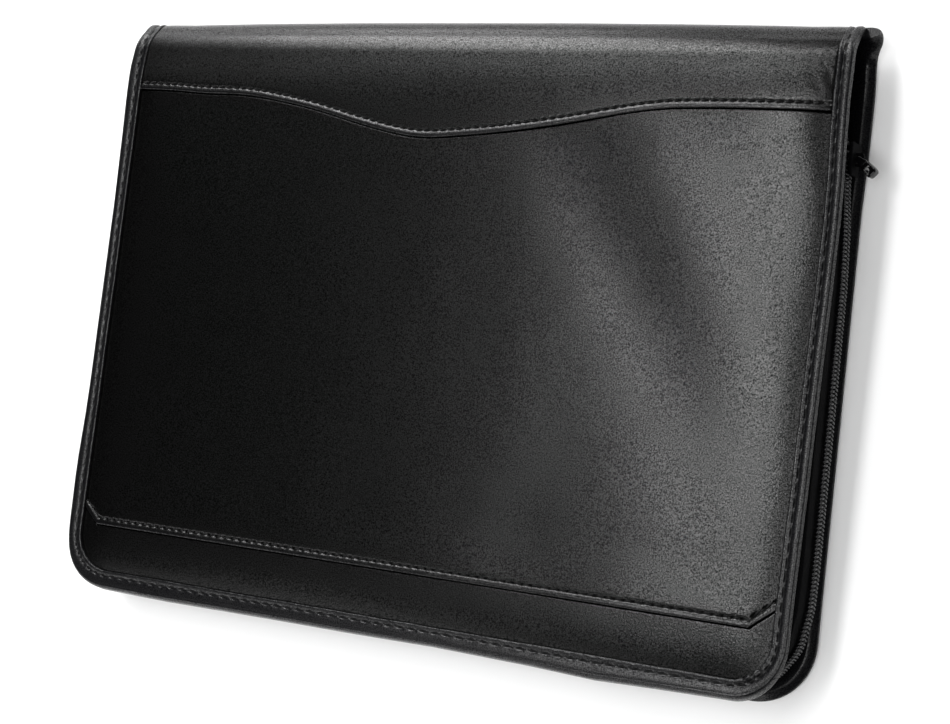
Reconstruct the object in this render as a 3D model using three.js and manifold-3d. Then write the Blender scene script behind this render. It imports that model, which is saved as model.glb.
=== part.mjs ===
// Zippered conference folder in black leather, closed and lying on its back cover.
// X runs along the spine, Y from the zip edge to the spine and Z up out of the front cover.
// The origin is the middle of the back cover's outer face, and all sizes are millimetres.
import * as THREE from "three";
import { mergeVertices } from "three/addons/utils/BufferGeometryUtils.js";
import Module from "manifold-3d";

const wasm = await Module();
wasm.setup();

const WIDTH = 355; // along the spine
const DEPTH = 265; // from the zip edge to the spine
const THICKNESS = 30; // over both covers
const CORNER_RADIUS = 25; // of the outline, at the zip edge
const FLARE = 1.45; // each side stands this much further out at the zip edge, and less at the spine
const BACK_OVERHANG = 1.3; // of the back cover past the front one, at the zip edge
const CORNER_STEPS = 6;
const ROUND_STEPS = 3; // in each rounded corner of the slider and its pull
const WAVY_COLUMNS = 23; // across a panel with a wavy edge
const PLAIN_COLUMNS = 5; // across a straight one
const FRONT_ROWS = 8; // between the front panel's seams
const GAP = 0.3; // left between neighbouring pieces

// Cover wall, as heights off its middle surface: lining side, pinched by the binding, padded, and a
// turned edge at its fold and behind it
const WALL = { inner: -1.2, pinched: 1.2, padded: 2.3, rolled: 2.5, turned: 3 };
const PAD_START = 11.5; // from the outline to the first rise of the padding
const PAD_RUN = 20; // from the outline to the full padding
const EDGE_INSET = 2.3; // from the outline to a panel's raw edge, inside the binding

// Binding: a leather strip folded round the edge, with a slot for the panels
const BINDING = { width: 7.4, half: 2.6, leather: 1.1, bight: 2, shoulder: 2.2, nose: 0.7 };

// Half-round spine
const SPINE_RADIUS = THICKNESS / 2 - WALL.turned; // of the wall's middle surface
const SPINE_Y = DEPTH / 2 - SPINE_RADIUS - BINDING.half;
const SPINE_QUARTER = (Math.PI / 2) * SPINE_RADIUS; // girth from a flat cover to the crest
const SPINE_STEPS = 4; // in a quarter turn
const SPINE_BOW = 1.2; // of its crest, half-way along
const MIDDLE_Z = THICKNESS / 2;

// Seams: the yoke edge leans a little and waves down near the middle, the lower seam ends in chevrons
const YOKE = { end: 34.6, lean: 1.4, dip: 15.8, halfWave: 117, middle: -9 };
const LOWER_SEAM = { height: 28.6, chevronX: 161, slope: 0.86 };
const BACK_SEAM = 35; // below the spine

// Soft diagonal wave pressed into the front panel
const WAVE = { x: 118, y: 38, angle: -0.91, half: 15, reach: 52, depth: 0.9 };

// Zip: woven tapes turned under the bindings, a half chain of teeth on the outside of each
const TAPE = { wall: 0.8, flange: 5 };
const TEETH = { depth: 2.2, width: 3.3, chamfer: 0.6 };
const CHAIN = { level: 13.4, slip: 0.2 }; // height of its middle, half the play between the halves
const SLIDER_Y = 80.6;
// Run of the right-hand chain by its place past the slider's centre: its inset, and how far each half
// stands from the middle
const CHAIN_RUN = [
  { past: -32, inset: 0.5, half: 0 },
  { past: -8, inset: 2.4, half: 0 },
  { past: -2, inset: 2.4, half: 0 },
  { past: 6, inset: 2.4, half: 1.9 },
  { past: 18, inset: 2.4, half: 3.9 },
];

// Slider, seen from outside the zip: its length lies along Y and its width along Z
const SLIDER = { length: 13, nose: 5.8, tail: 4.4, corner: 1.4, plate: 1.4, bevel: 0.35, sunk: 0.5 };
const NECK = { past: 5, radius: 1, sides: 10 };
const ARCH = { half: 2.6, leg: 0.9, height: 3.4, bar: 0.9, width: 2, round: 1.3 };
const PULL = { length: 9.5, width: 5, thickness: 1.4, bar: 0.7, windowEnd: 3.6, windowHalf: 1.4 };
const PULL_END = { length: 5.4, thickness: 4.8, corner: 1, bevel: 0.8 };
const PULL_HINGE = { out: 1.25, past: 0.4 }; // from the outer plate's face and the slider's centre
const PULL_REST = THREE.MathUtils.degToRad(-42); // from straight out, towards the zip edge

// A closed geometry from points and faces, turned round where its faces point inwards
function closedGeometry(points, faces) {
  const triangles = faces.flatMap((f) => f.slice(2).map((last, k) => [f[0], f[k + 1], last]));
  const volume = triangles.reduce((sum, [a, b, c]) => {
    return sum + points[a].dot(new THREE.Vector3().crossVectors(points[b], points[c]));
  }, 0);
  if (volume < 0) triangles.forEach((t) => t.reverse());
  const geometry = new THREE.BufferGeometry().setFromPoints(points);
  geometry.setIndex(triangles.flat());
  geometry.computeVertexNormals();
  return geometry;
}

// A closed slab between two grids of points with the same rows and columns
function slab(outer, inner) {
  const rows = outer.length;
  const columns = outer[0].length;
  const at = (layer, r, c) => (layer * rows + r) * columns + c;
  const faces = [];
  for (let r = 0; r + 1 < rows; r++) {
    for (let c = 0; c + 1 < columns; c++) {
      faces.push([at(0, r, c), at(0, r, c + 1), at(0, r + 1, c + 1), at(0, r + 1, c)]);
      faces.push([at(1, r, c), at(1, r + 1, c), at(1, r + 1, c + 1), at(1, r, c + 1)]);
    }
  }
  const border = [];
  for (let c = 0; c + 1 < columns; c++) border.push([0, c]);
  for (let r = 0; r + 1 < rows; r++) border.push([r, columns - 1]);
  for (let c = columns - 1; c > 0; c--) border.push([rows - 1, c]);
  for (let r = rows - 1; r > 0; r--) border.push([r, 0]);
  border.forEach((here, k) => {
    const next = border[(k + 1) % border.length];
    faces.push([at(0, ...next), at(0, ...here), at(1, ...here), at(1, ...next)]);
  });
  return closedGeometry([...outer.flat(), ...inner.flat()], faces);
}

// A closed loft through rings of points, capped with the triangles of its flat section
function loft(section, rings) {
  const count = section.length;
  const faces = [];
  for (let i = 0; i + 1 < rings.length; i++) {
    for (let j = 0; j < count; j++) {
      const k = (j + 1) % count;
      faces.push([i * count + j, i * count + k, (i + 1) * count + k, (i + 1) * count + j]);
    }
  }
  const turn = Math.sign(THREE.ShapeUtils.area(section));
  for (const cap of THREE.ShapeUtils.triangulateShape(section, [])) {
    const same = Math.sign(THREE.ShapeUtils.area(cap.map((v) => section[v]))) === turn;
    const [a, b, c] = same ? cap : [cap[0], cap[2], cap[1]];
    const last = (rings.length - 1) * count;
    faces.push([c, b, a], [last + a, last + b, last + c]);
  }
  return closedGeometry(rings.flat(), faces);
}

// One geometry from several closed ones that overlap
function joined(...geometries) {
  const solids = geometries.map((geometry) => {
    const bare = new THREE.BufferGeometry();
    bare.setAttribute("position", geometry.getAttribute("position"));
    bare.setIndex(geometry.index);
    const merged = mergeVertices(bare, 1e-4);
    const vertProperties = merged.attributes.position.array;
    const triVerts = new Uint32Array(merged.index.array);
    return new wasm.Manifold(new wasm.Mesh({ numProp: 3, vertProperties, triVerts }));
  });
  const mesh = solids.reduce((whole, solid) => whole.add(solid)).getMesh();
  const geometry = new THREE.BufferGeometry();
  geometry.setAttribute("position", new THREE.BufferAttribute(mesh.vertProperties, 3));
  geometry.setIndex(new THREE.BufferAttribute(mesh.triVerts, 1));
  geometry.computeVertexNormals();
  return geometry;
}

// A point between the covers, set out to the flared sides
function flared(x, y, z) {
  return new THREE.Vector3(x * (1 - (FLARE / (WIDTH / 2)) * (y / (DEPTH / 2))), y, z);
}

// A point of the folded cover: y goes on past SPINE_Y round the spine, side is 1 in front and -1 behind
function skin(x, y, height, side) {
  const turn = Math.max(0, y - SPINE_Y) / SPINE_RADIUS;
  const radius = SPINE_RADIUS + height;
  const stretch = side < 0 ? 1 + BACK_OVERHANG / (SPINE_Y + DEPTH / 2) : 1;
  const across = SPINE_Y + Math.min(0, y - SPINE_Y) * stretch + radius * Math.sin(turn);
  return flared(x, across, MIDDLE_Z + side * radius * Math.cos(turn));
}

// Distance in from the covers' outline
function insetFrom(x, y) {
  const dx = Math.abs(x) - (WIDTH / 2 - CORNER_RADIUS);
  const dy = -y - (DEPTH / 2 - CORNER_RADIUS);
  const inCorner = dx > 0 && dy > 0;
  return CORNER_RADIUS - (inCorner ? Math.hypot(dx, dy) : Math.max(dx, dy));
}

const yokeEdge = (x) => {
  const wave = Math.cos((Math.PI / 2) * Math.min(1, Math.abs(x - YOKE.middle) / YOKE.halfWave));
  return DEPTH / 2 - YOKE.end - (YOKE.lean * x) / (WIDTH / 2) - YOKE.dip * wave * wave;
};
const lowerEdge = (x) => {
  return LOWER_SEAM.height - DEPTH / 2 + LOWER_SEAM.slope * Math.max(0, Math.abs(x) - LOWER_SEAM.chevronX);
};
const backEdge = () => DEPTH / 2 - BACK_SEAM;
const rawEdge = (x) => {
  const radius = CORNER_RADIUS - EDGE_INSET;
  const dx = Math.max(0, Math.abs(x) - (WIDTH / 2 - CORNER_RADIUS));
  return CORNER_RADIUS - DEPTH / 2 - Math.sqrt(Math.max(0, radius * radius - dx * dx));
};

// Heights of the lap seams, by distance from the upper panel's turned edge towards the spine
const LIP = [
  { off: 0, inner: GAP / 2, outer: WALL.rolled },
  { off: 0.8, inner: GAP / 2, outer: WALL.turned },
  { off: 7.6, inner: GAP / 2, outer: WALL.turned },
  { off: 8, inner: WALL.inner, outer: WALL.turned },
  { off: 14, inner: WALL.inner, outer: WALL.padded },
];
const TONGUE = [
  { off: -1, inner: WALL.inner, outer: WALL.padded },
  { off: -0.5, inner: WALL.inner, outer: -GAP / 2 },
  { off: 7, inner: WALL.inner, outer: -GAP / 2 },
];
const lapRows = (table, edge, side) => table.map((row) => ({ ...row, side, y: (x) => edge(x) + row.off }));
const flattened = (rows) => rows.map((row) => ({ ...row, outer: row.outer > 0 ? WALL.turned : row.outer }));
const plainRow = (y, side, outer = WALL.padded) => ({ y, side, inner: WALL.inner, outer });
const rowsBetween = (from, to, shares, side, outer) => {
  return shares.map((share) => plainRow((x) => THREE.MathUtils.lerp(from(x), to(x), share), side, outer));
};

// Depth of the pressed wave: a trough between two low ridges
function pressedWave(x, y) {
  const along = (x - WAVE.x) * Math.cos(WAVE.angle) + (y - WAVE.y) * Math.sin(WAVE.angle);
  const across = (y - WAVE.y) * Math.cos(WAVE.angle) - (x - WAVE.x) * Math.sin(WAVE.angle);
  const fade = Math.exp(-((along / WAVE.reach) ** 2) - (across / (2 * WAVE.half)) ** 2);
  return -WAVE.depth * fade * Math.cos((Math.PI * across) / (2 * WAVE.half));
}

// A cover panel: rows of heights crossed with columns of x, pinched towards the outline
function panel(rows, columns, relief = () => 0) {
  const outerHeight = (row, x, y) => {
    if (row.outer <= WALL.pinched) return row.outer;
    const rise = THREE.MathUtils.smoothstep(insetFrom(x, y), BINDING.width + GAP, PAD_RUN);
    return WALL.pinched + (row.outer - WALL.pinched + relief(x, y)) * rise;
  };
  const face = (height) => {
    return rows.map((row) => columns.map((x) => skin(x, row.y(x), height(row, x, row.y(x)), row.side)));
  };
  return slab(face(outerHeight), face((row) => row.inner));
}

// Columns of x, mirrored: some at given insets from the outline, the rest spaced evenly between
function columnsAt(insets, count) {
  const half = insets.map((inset) => WIDTH / 2 - inset);
  const last = Math.min(...half);
  const between = Array.from({ length: count }, (_, k) => last * (1 - (2 * (k + 1)) / (count + 1)));
  const right = [...half].sort((a, b) => b - a);
  return [...right, ...between, ...right.map((x) => -x).reverse()].reverse();
}
const cornerInsets = Array.from({ length: CORNER_STEPS + 1 }, (_, k) => {
  const angle = ((Math.PI / 2) * k) / CORNER_STEPS;
  return CORNER_RADIUS - (CORNER_RADIUS - EDGE_INSET) * Math.sin(angle);
});
const sideInsets = [EDGE_INSET, BINDING.width + GAP, PAD_START, PAD_RUN];
const chevronInset = WIDTH / 2 - LOWER_SEAM.chevronX;

function frontPanel() {
  const top = (x) => yokeEdge(x) + TONGUE[0].off;
  const bottom = (x) => lowerEdge(x) + LIP.at(-1).off;
  const shares = Array.from({ length: FRONT_ROWS }, (_, k) => (k + 1) / (FRONT_ROWS + 1));
  const rows = [
    ...lapRows(LIP, lowerEdge, 1),
    ...rowsBetween(bottom, top, shares, 1),
    ...lapRows(TONGUE, yokeEdge, 1),
  ];
  return panel(rows, columnsAt([...sideInsets, chevronInset], WAVY_COLUMNS), pressedWave);
}

function spineWrap() {
  const quarter = Array.from({ length: SPINE_STEPS + 1 }, (_, k) => {
    return SPINE_Y + (SPINE_QUARTER * k) / SPINE_STEPS;
  });
  const rows = [
    ...lapRows(LIP, yokeEdge, 1),
    ...quarter.map((y) => plainRow(() => y, 1)),
    ...quarter.slice(0, -1).reverse().map((y) => plainRow(() => y, -1)),
    ...flattened(lapRows(LIP, backEdge, -1)).reverse(),
  ];
  const bow = (x, y) => {
    const turn = Math.max(0, y - SPINE_Y) / SPINE_RADIUS;
    return SPINE_BOW * Math.sin(turn) * (1 - (x / (WIDTH / 2)) ** 2);
  };
  return panel(rows, columnsAt(sideInsets, WAVY_COLUMNS), bow);
}

// Rows of the panels along the zip edge, as shares of the way from the raw edge to the seam: they lie
// close where the padding rises
const BAND_SHARES = [0, 0.2, 0.36, 0.65];
const BACK_SHARES = [0, 0.023, 0.045, 0.085, 0.2, 0.4, 0.6, 0.8];

function lowerBand() {
  const top = (x) => lowerEdge(x) + TONGUE[0].off;
  const rows = [...rowsBetween(rawEdge, top, BAND_SHARES, 1), ...lapRows(TONGUE, lowerEdge, 1)];
  return panel(rows, columnsAt([...cornerInsets, chevronInset], PLAIN_COLUMNS));
}

function backPanel() {
  const top = (x) => backEdge(x) + TONGUE[0].off;
  const rows = [
    ...rowsBetween(rawEdge, top, BACK_SHARES, -1, WALL.turned),
    ...flattened(lapRows(TONGUE, backEdge, -1)),
  ];
  return panel(rows, columnsAt([...cornerInsets, PAD_RUN], PLAIN_COLUMNS));
}

// Stations round the three free sides, from the right end of the spine to the left one, each with its
// outward direction; the straight sides have stations at the given y
function stationsRound(rightY, leftY) {
  const centre = { x: WIDTH / 2 - CORNER_RADIUS, y: CORNER_RADIUS - DEPTH / 2 };
  const right = rightY.map((y) => ({ x: WIDTH / 2, y, ox: 1, oy: 0 }));
  const arc = Array.from({ length: CORNER_STEPS + 1 }, (_, k) => {
    const angle = ((Math.PI / 2) * k) / CORNER_STEPS;
    const ox = Math.cos(angle);
    const oy = -Math.sin(angle);
    return { x: centre.x + CORNER_RADIUS * ox, y: centre.y + CORNER_RADIUS * oy, ox, oy };
  });
  const mirror = (s) => ({ x: -s.x, y: s.y, ox: -s.ox, oy: s.oy });
  const left = leftY.map((y) => mirror({ x: WIDTH / 2, y, ox: 1, oy: 0 }));
  return [...right, ...arc, ...arc.map(mirror).reverse(), ...left.reverse()];
}

function binding(side) {
  const crest = SPINE_Y + SPINE_QUARTER - GAP / 2;
  const overSpine = Array.from({ length: SPINE_STEPS + 1 }, (_, k) => {
    return THREE.MathUtils.lerp(crest, SPINE_Y, k / SPINE_STEPS);
  });
  const { width, half, leather, bight, shoulder, nose } = BINDING;
  const upper = [
    { inset: bight, height: half - leather },
    { inset: width, height: half - leather },
    { inset: width, height: half - leather / 3 },
    { inset: width - leather, height: half },
    { inset: shoulder, height: half },
    { inset: nose, height: half - nose },
    { inset: 0, height: nose },
  ];
  const section = [...upper, ...upper.map((p) => ({ ...p, height: -p.height })).reverse()];
  const rings = stationsRound(overSpine, overSpine).map((s) => {
    return section.map((p) => skin(s.x - p.inset * s.ox, s.y - p.inset * s.oy, p.height, side));
  });
  return loft(section.map((p) => new THREE.Vector2(p.inset, p.height)), rings);
}

// The chain at a station: the inset of its outer face, and how far each half stands from its middle
function chainAt(station) {
  const past = station.x > 0 ? station.y - SLIDER_Y : CHAIN_RUN[0].past;
  const k = CHAIN_RUN.findIndex((row) => row.past >= past);
  if (k === -1) return CHAIN_RUN.at(-1);
  if (k === 0) return CHAIN_RUN[0];
  const [low, high] = [CHAIN_RUN[k - 1], CHAIN_RUN[k]];
  const share = (past - low.past) / (high.past - low.past);
  const mix = (column) => THREE.MathUtils.lerp(low[column], high[column], share);
  return { inset: mix("inset"), half: mix("half") };
}
const runY = CHAIN_RUN.map((row) => SLIDER_Y + row.past).reverse();
const zipStations = stationsRound([SPINE_Y, ...runY], [SPINE_Y]);

// A strip along the zip whose section is given at each station by insets and heights
function alongZip(sectionAt) {
  const flat = (p) => new THREE.Vector2(p.inset, p.z);
  const rings = zipStations.map((s) => {
    return sectionAt(s).map((p) => flared(s.x - p.inset * s.ox, s.y - p.inset * s.oy, p.z));
  });
  return loft(sectionAt(zipStations[0]).map(flat), rings);
}

function zipTape(side) {
  const under = MIDDLE_Z + side * (SPINE_RADIUS - BINDING.half - GAP);
  const { wall, flange } = TAPE;
  return alongZip((station) => {
    const chain = chainAt(station);
    const inset = chain.inset + TEETH.depth + GAP;
    const edge = CHAIN.level + side * (chain.half + CHAIN.slip);
    return [
      { inset, z: edge },
      { inset, z: under },
      { inset: inset + flange, z: under },
      { inset: inset + flange, z: under - side * wall },
      { inset: inset + wall, z: under - side * wall },
      { inset: inset + wall, z: edge },
    ];
  });
}

function zipTeeth(side) {
  const { depth, width, chamfer } = TEETH;
  return alongZip((station) => {
    const { inset, half } = chainAt(station);
    const middle = CHAIN.level + side * (half + CHAIN.slip);
    return [
      { inset: inset + depth, z: middle },
      { inset: inset + chamfer, z: middle },
      { inset, z: middle + side * chamfer },
      { inset, z: middle + side * (width - chamfer) },
      { inset: inset + chamfer, z: middle + side * width },
      { inset: inset + depth, z: middle + side * width },
    ];
  });
}

// Slider plate, seen from outside: wide at the nose, narrower at the tail, with rounded corners
function sliderPlate(out) {
  const { length, nose, tail, corner, plate, bevel } = SLIDER;
  const outline = [
    new THREE.Vector2(length / 2 - bevel, nose - bevel),
    new THREE.Vector2(bevel - length / 2, tail - bevel),
    new THREE.Vector2(bevel - length / 2, bevel - tail),
    new THREE.Vector2(length / 2 - bevel, bevel - nose),
  ];
  const shape = new THREE.Shape();
  outline.forEach((p, k) => {
    const before = outline.at(k - 1).clone().sub(p).setLength(corner).add(p);
    const after = outline[(k + 1) % outline.length].clone().sub(p).setLength(corner).add(p);
    if (k === 0) shape.moveTo(before.x, before.y);
    else shape.lineTo(before.x, before.y);
    shape.quadraticCurveTo(p.x, p.y, after.x, after.y);
  });
  const bevels = { bevelThickness: bevel, bevelSize: bevel, bevelSegments: 1 };
  const settings = { depth: plate - 2 * bevel, ...bevels, curveSegments: ROUND_STEPS };
  const geometry = new THREE.ExtrudeGeometry(shape, settings);
  geometry.translate(0, 0, out + bevel);
  const [along, across, outward] = [1, 2, 0].map((k) => new THREE.Vector3().setComponent(k, 1));
  return geometry.applyMatrix4(new THREE.Matrix4().makeBasis(along, across, outward));
}

// Offsets of the slider's layers, outwards from the chain's outer face
const outerPlateOut = GAP;
const innerPlateOut = -(TEETH.depth + GAP + TAPE.wall + GAP + SLIDER.plate);
const plateFace = outerPlateOut + SLIDER.plate;

function sliderBody() {
  const neckLength = outerPlateOut - innerPlateOut;
  const neck = new THREE.CylinderGeometry(NECK.radius, NECK.radius, neckLength, NECK.sides);
  neck.rotateZ(Math.PI / 2);
  neck.translate(innerPlateOut + neckLength / 2 + SLIDER.sunk, NECK.past, 0);

  const { half, leg, height, bar, width, round } = ARCH;
  const [foot, top] = [plateFace - SLIDER.sunk, plateFace + height];
  const shape = new THREE.Shape();
  shape.moveTo(foot, -half);
  shape.lineTo(top - round, -half);
  shape.quadraticCurveTo(top, -half, top, round - half);
  shape.lineTo(top, half - round);
  shape.quadraticCurveTo(top, half, top - round, half);
  shape.lineTo(foot, half);
  shape.lineTo(foot, half - leg);
  shape.lineTo(top - bar, half - leg);
  shape.lineTo(top - bar, leg - half);
  shape.lineTo(foot, leg - half);
  const settings = { depth: width, bevelEnabled: false, curveSegments: ROUND_STEPS };
  const arch = new THREE.ExtrudeGeometry(shape, settings);
  arch.translate(0, 0, -width / 2);
  return joined(sliderPlate(outerPlateOut), sliderPlate(innerPlateOut), neck, arch);
}

// A flat bar lying along X with rounded corners, extruded along Y and bevelled
function roundedBar(from, to, halfWidth, corner, thickness, bevel, hole) {
  const shape = new THREE.Shape();
  const [low, high, side] = [from + bevel, to - bevel, halfWidth - bevel];
  shape.moveTo(low + corner, -side);
  shape.lineTo(high - corner, -side);
  shape.quadraticCurveTo(high, -side, high, corner - side);
  shape.lineTo(high, side - corner);
  shape.quadraticCurveTo(high, side, high - corner, side);
  shape.lineTo(low + corner, side);
  shape.quadraticCurveTo(low, side, low, side - corner);
  shape.lineTo(low, corner - side);
  shape.quadraticCurveTo(low, -side, low + corner, -side);
  if (hole) shape.holes.push(hole);
  const bevels = { bevelThickness: bevel, bevelSize: bevel, bevelSegments: 1 };
  const settings = { depth: thickness - 2 * bevel, ...bevels, curveSegments: ROUND_STEPS };
  const geometry = new THREE.ExtrudeGeometry(shape, settings);
  geometry.translate(0, 0, bevel - thickness / 2);
  return geometry.rotateX(Math.PI / 2);
}

// Pull tab lying along X, with its cross bar on the origin and a window that clears the arch
function zipPull() {
  const { length, width, thickness, bar, windowEnd, windowHalf } = PULL;
  const bevel = SLIDER.bevel;
  const window = new THREE.Path();
  window.moveTo(bar - bevel, -windowHalf - bevel);
  window.lineTo(bar - bevel, windowHalf + bevel);
  window.lineTo(windowEnd + bevel, windowHalf + bevel);
  window.lineTo(windowEnd + bevel, -windowHalf - bevel);
  window.closePath();
  const tab = roundedBar(-bar, length, width / 2, PULL_END.corner, thickness, bevel, window);
  const start = length - PULL_END.length;
  const grip = roundedBar(start, length, width / 2, PULL_END.corner, PULL_END.thickness, PULL_END.bevel);
  return joined(tab, grip);
}

const leather = { color: 0x17171a, roughness: 0.48, metalness: 0 };
const edging = { color: 0x131315, roughness: 0.42, metalness: 0 };
const woven = { color: 0x0d0d0f, roughness: 0.85, metalness: 0 };
const nylon = { color: 0x101012, roughness: 0.4, metalness: 0 };
const gunmetal = { color: 0x1c1c1f, roughness: 0.22, metalness: 0.9 };

function piece(name, geometry, finish) {
  const mesh = new THREE.Mesh(geometry, new THREE.MeshStandardMaterial(finish));
  mesh.name = name;
  return mesh;
}

const folder = new THREE.Group();
folder.add(
  piece("front_panel", frontPanel(), leather),
  piece("spine_wrap", spineWrap(), leather),
  piece("lower_band", lowerBand(), leather),
  piece("back_panel", backPanel(), leather),
  piece("binding_front", binding(1), edging),
  piece("binding_back", binding(-1), edging),
  piece("zip_tape_front", zipTape(1), woven),
  piece("zip_tape_back", zipTape(-1), woven),
  piece("zip_coil_front", zipTeeth(1), nylon),
  piece("zip_coil_back", zipTeeth(-1), nylon),
);

const slider = new THREE.Group();
const chainFace = WIDTH / 2 - chainAt({ x: WIDTH / 2, y: SLIDER_Y }).inset;
slider.position.copy(flared(chainFace, SLIDER_Y, CHAIN.level));
slider.add(piece("slider_body", sliderBody(), gunmetal));

const swing = new THREE.Group();
swing.position.set(plateFace + PULL_HINGE.out, PULL_HINGE.past, 0);
swing.rotation.z = PULL_REST;
swing.add(piece("zip_pull", zipPull(), gunmetal));
slider.add(swing);
folder.add(slider);

export default folder;
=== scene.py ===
# %% [markdown]
# # A zippered conference folder in black leather
# The folder is a case for A4 paper: two padded covers, a half-round spine between them, and a zip round the
# three free sides. It lies closed on its back cover. A measured model of it comes in as the fixed frame, and
# this lesson gives every soft piece its real form and every surface its finish. All sizes below are
# millimetres, and the value MM turns them into Blender's metres.

import bpy
import numpy as np
from mathutils import Matrix, Vector


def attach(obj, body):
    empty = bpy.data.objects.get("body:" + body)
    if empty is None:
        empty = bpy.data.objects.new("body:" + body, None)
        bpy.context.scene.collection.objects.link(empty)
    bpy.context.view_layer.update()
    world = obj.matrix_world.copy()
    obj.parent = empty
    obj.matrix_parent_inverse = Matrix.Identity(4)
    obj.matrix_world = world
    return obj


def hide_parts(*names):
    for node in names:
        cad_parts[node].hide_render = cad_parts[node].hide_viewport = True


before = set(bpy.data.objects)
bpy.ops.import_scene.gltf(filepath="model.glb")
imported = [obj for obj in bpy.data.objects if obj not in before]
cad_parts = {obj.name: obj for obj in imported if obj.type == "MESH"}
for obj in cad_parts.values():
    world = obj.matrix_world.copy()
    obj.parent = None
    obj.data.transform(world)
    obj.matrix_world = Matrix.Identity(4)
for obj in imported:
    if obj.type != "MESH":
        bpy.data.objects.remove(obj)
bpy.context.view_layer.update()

MM = 0.001


# %% [markdown]
# ## The camera
# The picture was taken from well to the right of the folder and above its cover, through a rather long lens,
# so the far left side looks only a little smaller. A camera in Blender looks along its own -Z axis with +Y
# up, so three directions and a place make its matrix. The focal length is known in picture widths, and that
# times the sensor's width is the lens.

# %% Camera at the photograph's angle
SENSOR_WIDTH = 36.0
LENS_PER_WIDTH = 2.0993  # focal length over the picture's width
CAMERA_PLACE = Vector((433.4, -44.9, 753.8))
VIEW_DIRECTION = Vector((-0.48921, 0.03870, -0.87130)).normalized()
VIEW_UP = Vector((-0.08414, 0.99226, 0.09132))


def add_object(name, data):
    """An object of a mesh, lamp or camera, put in the scene."""
    made = bpy.data.objects.new(name, data)
    bpy.context.collection.objects.link(made)
    return made


view_right = VIEW_DIRECTION.cross(VIEW_UP).normalized()
camera_axes = Matrix((view_right, view_right.cross(VIEW_DIRECTION), -VIEW_DIRECTION)).transposed()
lens = bpy.data.cameras.new("photo_camera")
lens.sensor_width = SENSOR_WIDTH
lens.lens = SENSOR_WIDTH * LENS_PER_WIDTH
camera = add_object("photo_camera", lens)
camera.matrix_world = Matrix.Translation(CAMERA_PLACE * MM) @ camera_axes.to_4x4()
bpy.context.scene.camera = camera
print("lens, mm:", round(lens.lens, 2))

# %% [markdown]
# ## Colours and nodes
# Colours are picked as sRGB hex values, as in any paint program, but shaders count light linearly, so
# one function converts them. A second small function adds any shader node: its plain settings by name, its
# sockets either as values or as links from another node, and it gives back the output that goes on to the
# next node. The shader that comes with a new material has its sockets filled in the same way, and a pattern
# is scaled by its real size, because the coordinates it follows are metres.

# %% Colour and node helpers
def linear(hex_colour):
    """Linear RGBA from an sRGB hex value such as '#1a1a1c'."""
    srgb = np.array([int(hex_colour[k:k + 2], 16) for k in (1, 3, 5)]) / 255
    low, high = srgb / 12.92, ((srgb + 0.055) / 1.055) ** 2.4
    return (*np.where(srgb <= 0.04045, low, high).tolist(), 1.0)


def fill(tree, made, sockets):
    """Fills a node's sockets, each with a value or with a link from another node's output."""
    for name, value in sockets.items():
        if isinstance(value, bpy.types.NodeSocket):
            tree.links.new(value, made.inputs[name])
        else:
            made.inputs[name].default_value = value


def node(tree, kind, output, sockets, **settings):
    """Adds one shader node with its settings and links, and gives back the output named."""
    made = tree.nodes.new("ShaderNode" + kind)
    for name, value in settings.items():
        setattr(made, name, value)
    fill(tree, made, sockets)
    return made.outputs[output]


def new_material(name):
    """A material, its node tree, its shader, and a function for the sockets of a pattern of a real size."""
    material = bpy.data.materials.new(name)
    material.use_nodes = True
    tree = material.node_tree
    place = node(tree, "TexCoord", "Object", {})  # the piece's own coordinates, in metres
    sized = lambda size_mm: {"Vector": place, "Scale": 1 / (size_mm * MM)}
    return material, tree, tree.nodes["Principled BSDF"], sized


print("a mid grey, linear:", [round(c, 4) for c in linear("#808080")[:3]])

# %% [markdown]
# ## Floor and studio light
# A pale sheet of paper carries the folder. Black leather shows almost nothing but reflections, so the lamps
# are placed by asking what each part of the cover mirrors towards the camera. A long soft box above the left
# side stands where the right half of the cover looks, and ends before the left half sees it, which is why
# the cover runs from black to grey. Two boxes behind the spine, one above the other, draw the soft light band
# along its curve, and a faint one beside them lifts the left end of the yoke. A wide box over the right side
# whitens the floor there and edges the binding with light; it stands where the flat cover doesn't mirror it.
# The last three fill the shadows and whiten the rest of the floor.

# %% Floor
FLOOR_HALF = 4000.0
FLOOR_DROP = 0.15  # keeps the floor's face clear of the back cover's

floor_corners = [(x * FLOOR_HALF * MM, y * FLOOR_HALF * MM, -FLOOR_DROP * MM)
                 for x, y in ((-1, -1), (1, -1), (1, 1), (-1, 1))]
floor_mesh = bpy.data.meshes.new("paper_floor")
floor_mesh.from_pydata(floor_corners, [], [(0, 1, 2, 3)])
floor = add_object("paper_floor", floor_mesh)

paper, paper_tree, paper_shader, _ = new_material("background_paper")
fill(paper_tree, paper_shader, {"Base Color": linear("#fbfbfb"), "Roughness": 0.9, "Specular IOR Level": 0.0})
floor_mesh.materials.append(paper)
print("floor's width, m:", 2 * FLOOR_HALF * MM)

# %% Lamps and background
# name, middle of the box, point it faces, width, length, watts
LAMPS = [
    ("cover_box", (-340, 187, 1400), (-340, 187, 0), 240, 860, 10.2),
    ("arch_box", (-508, 1046, 1106), (100, 120, 27), 700, 600, 7.4),
    ("spine_box", (-716, 1312, 582), (0, 120, 20), 520, 950, 16.5),
    ("yoke_box", (-1025, 780, 1330), (-60, 104, 27), 560, 360, 0.65),
    ("top_box", (480, -300, 1450), (0, 0, 0), 1100, 1100, 13),
    ("front_reflector", (-700, -800, 1150), (0, -60, 0), 900, 550, 2.4),
    ("floor_box_back", (700, 2500, 700), (0, 250, 0), 1500, 700, 30),
    ("floor_box_front", (-1500, -2300, 900), (0, -60, 0), 3400, 1500, 40),
]


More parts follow.
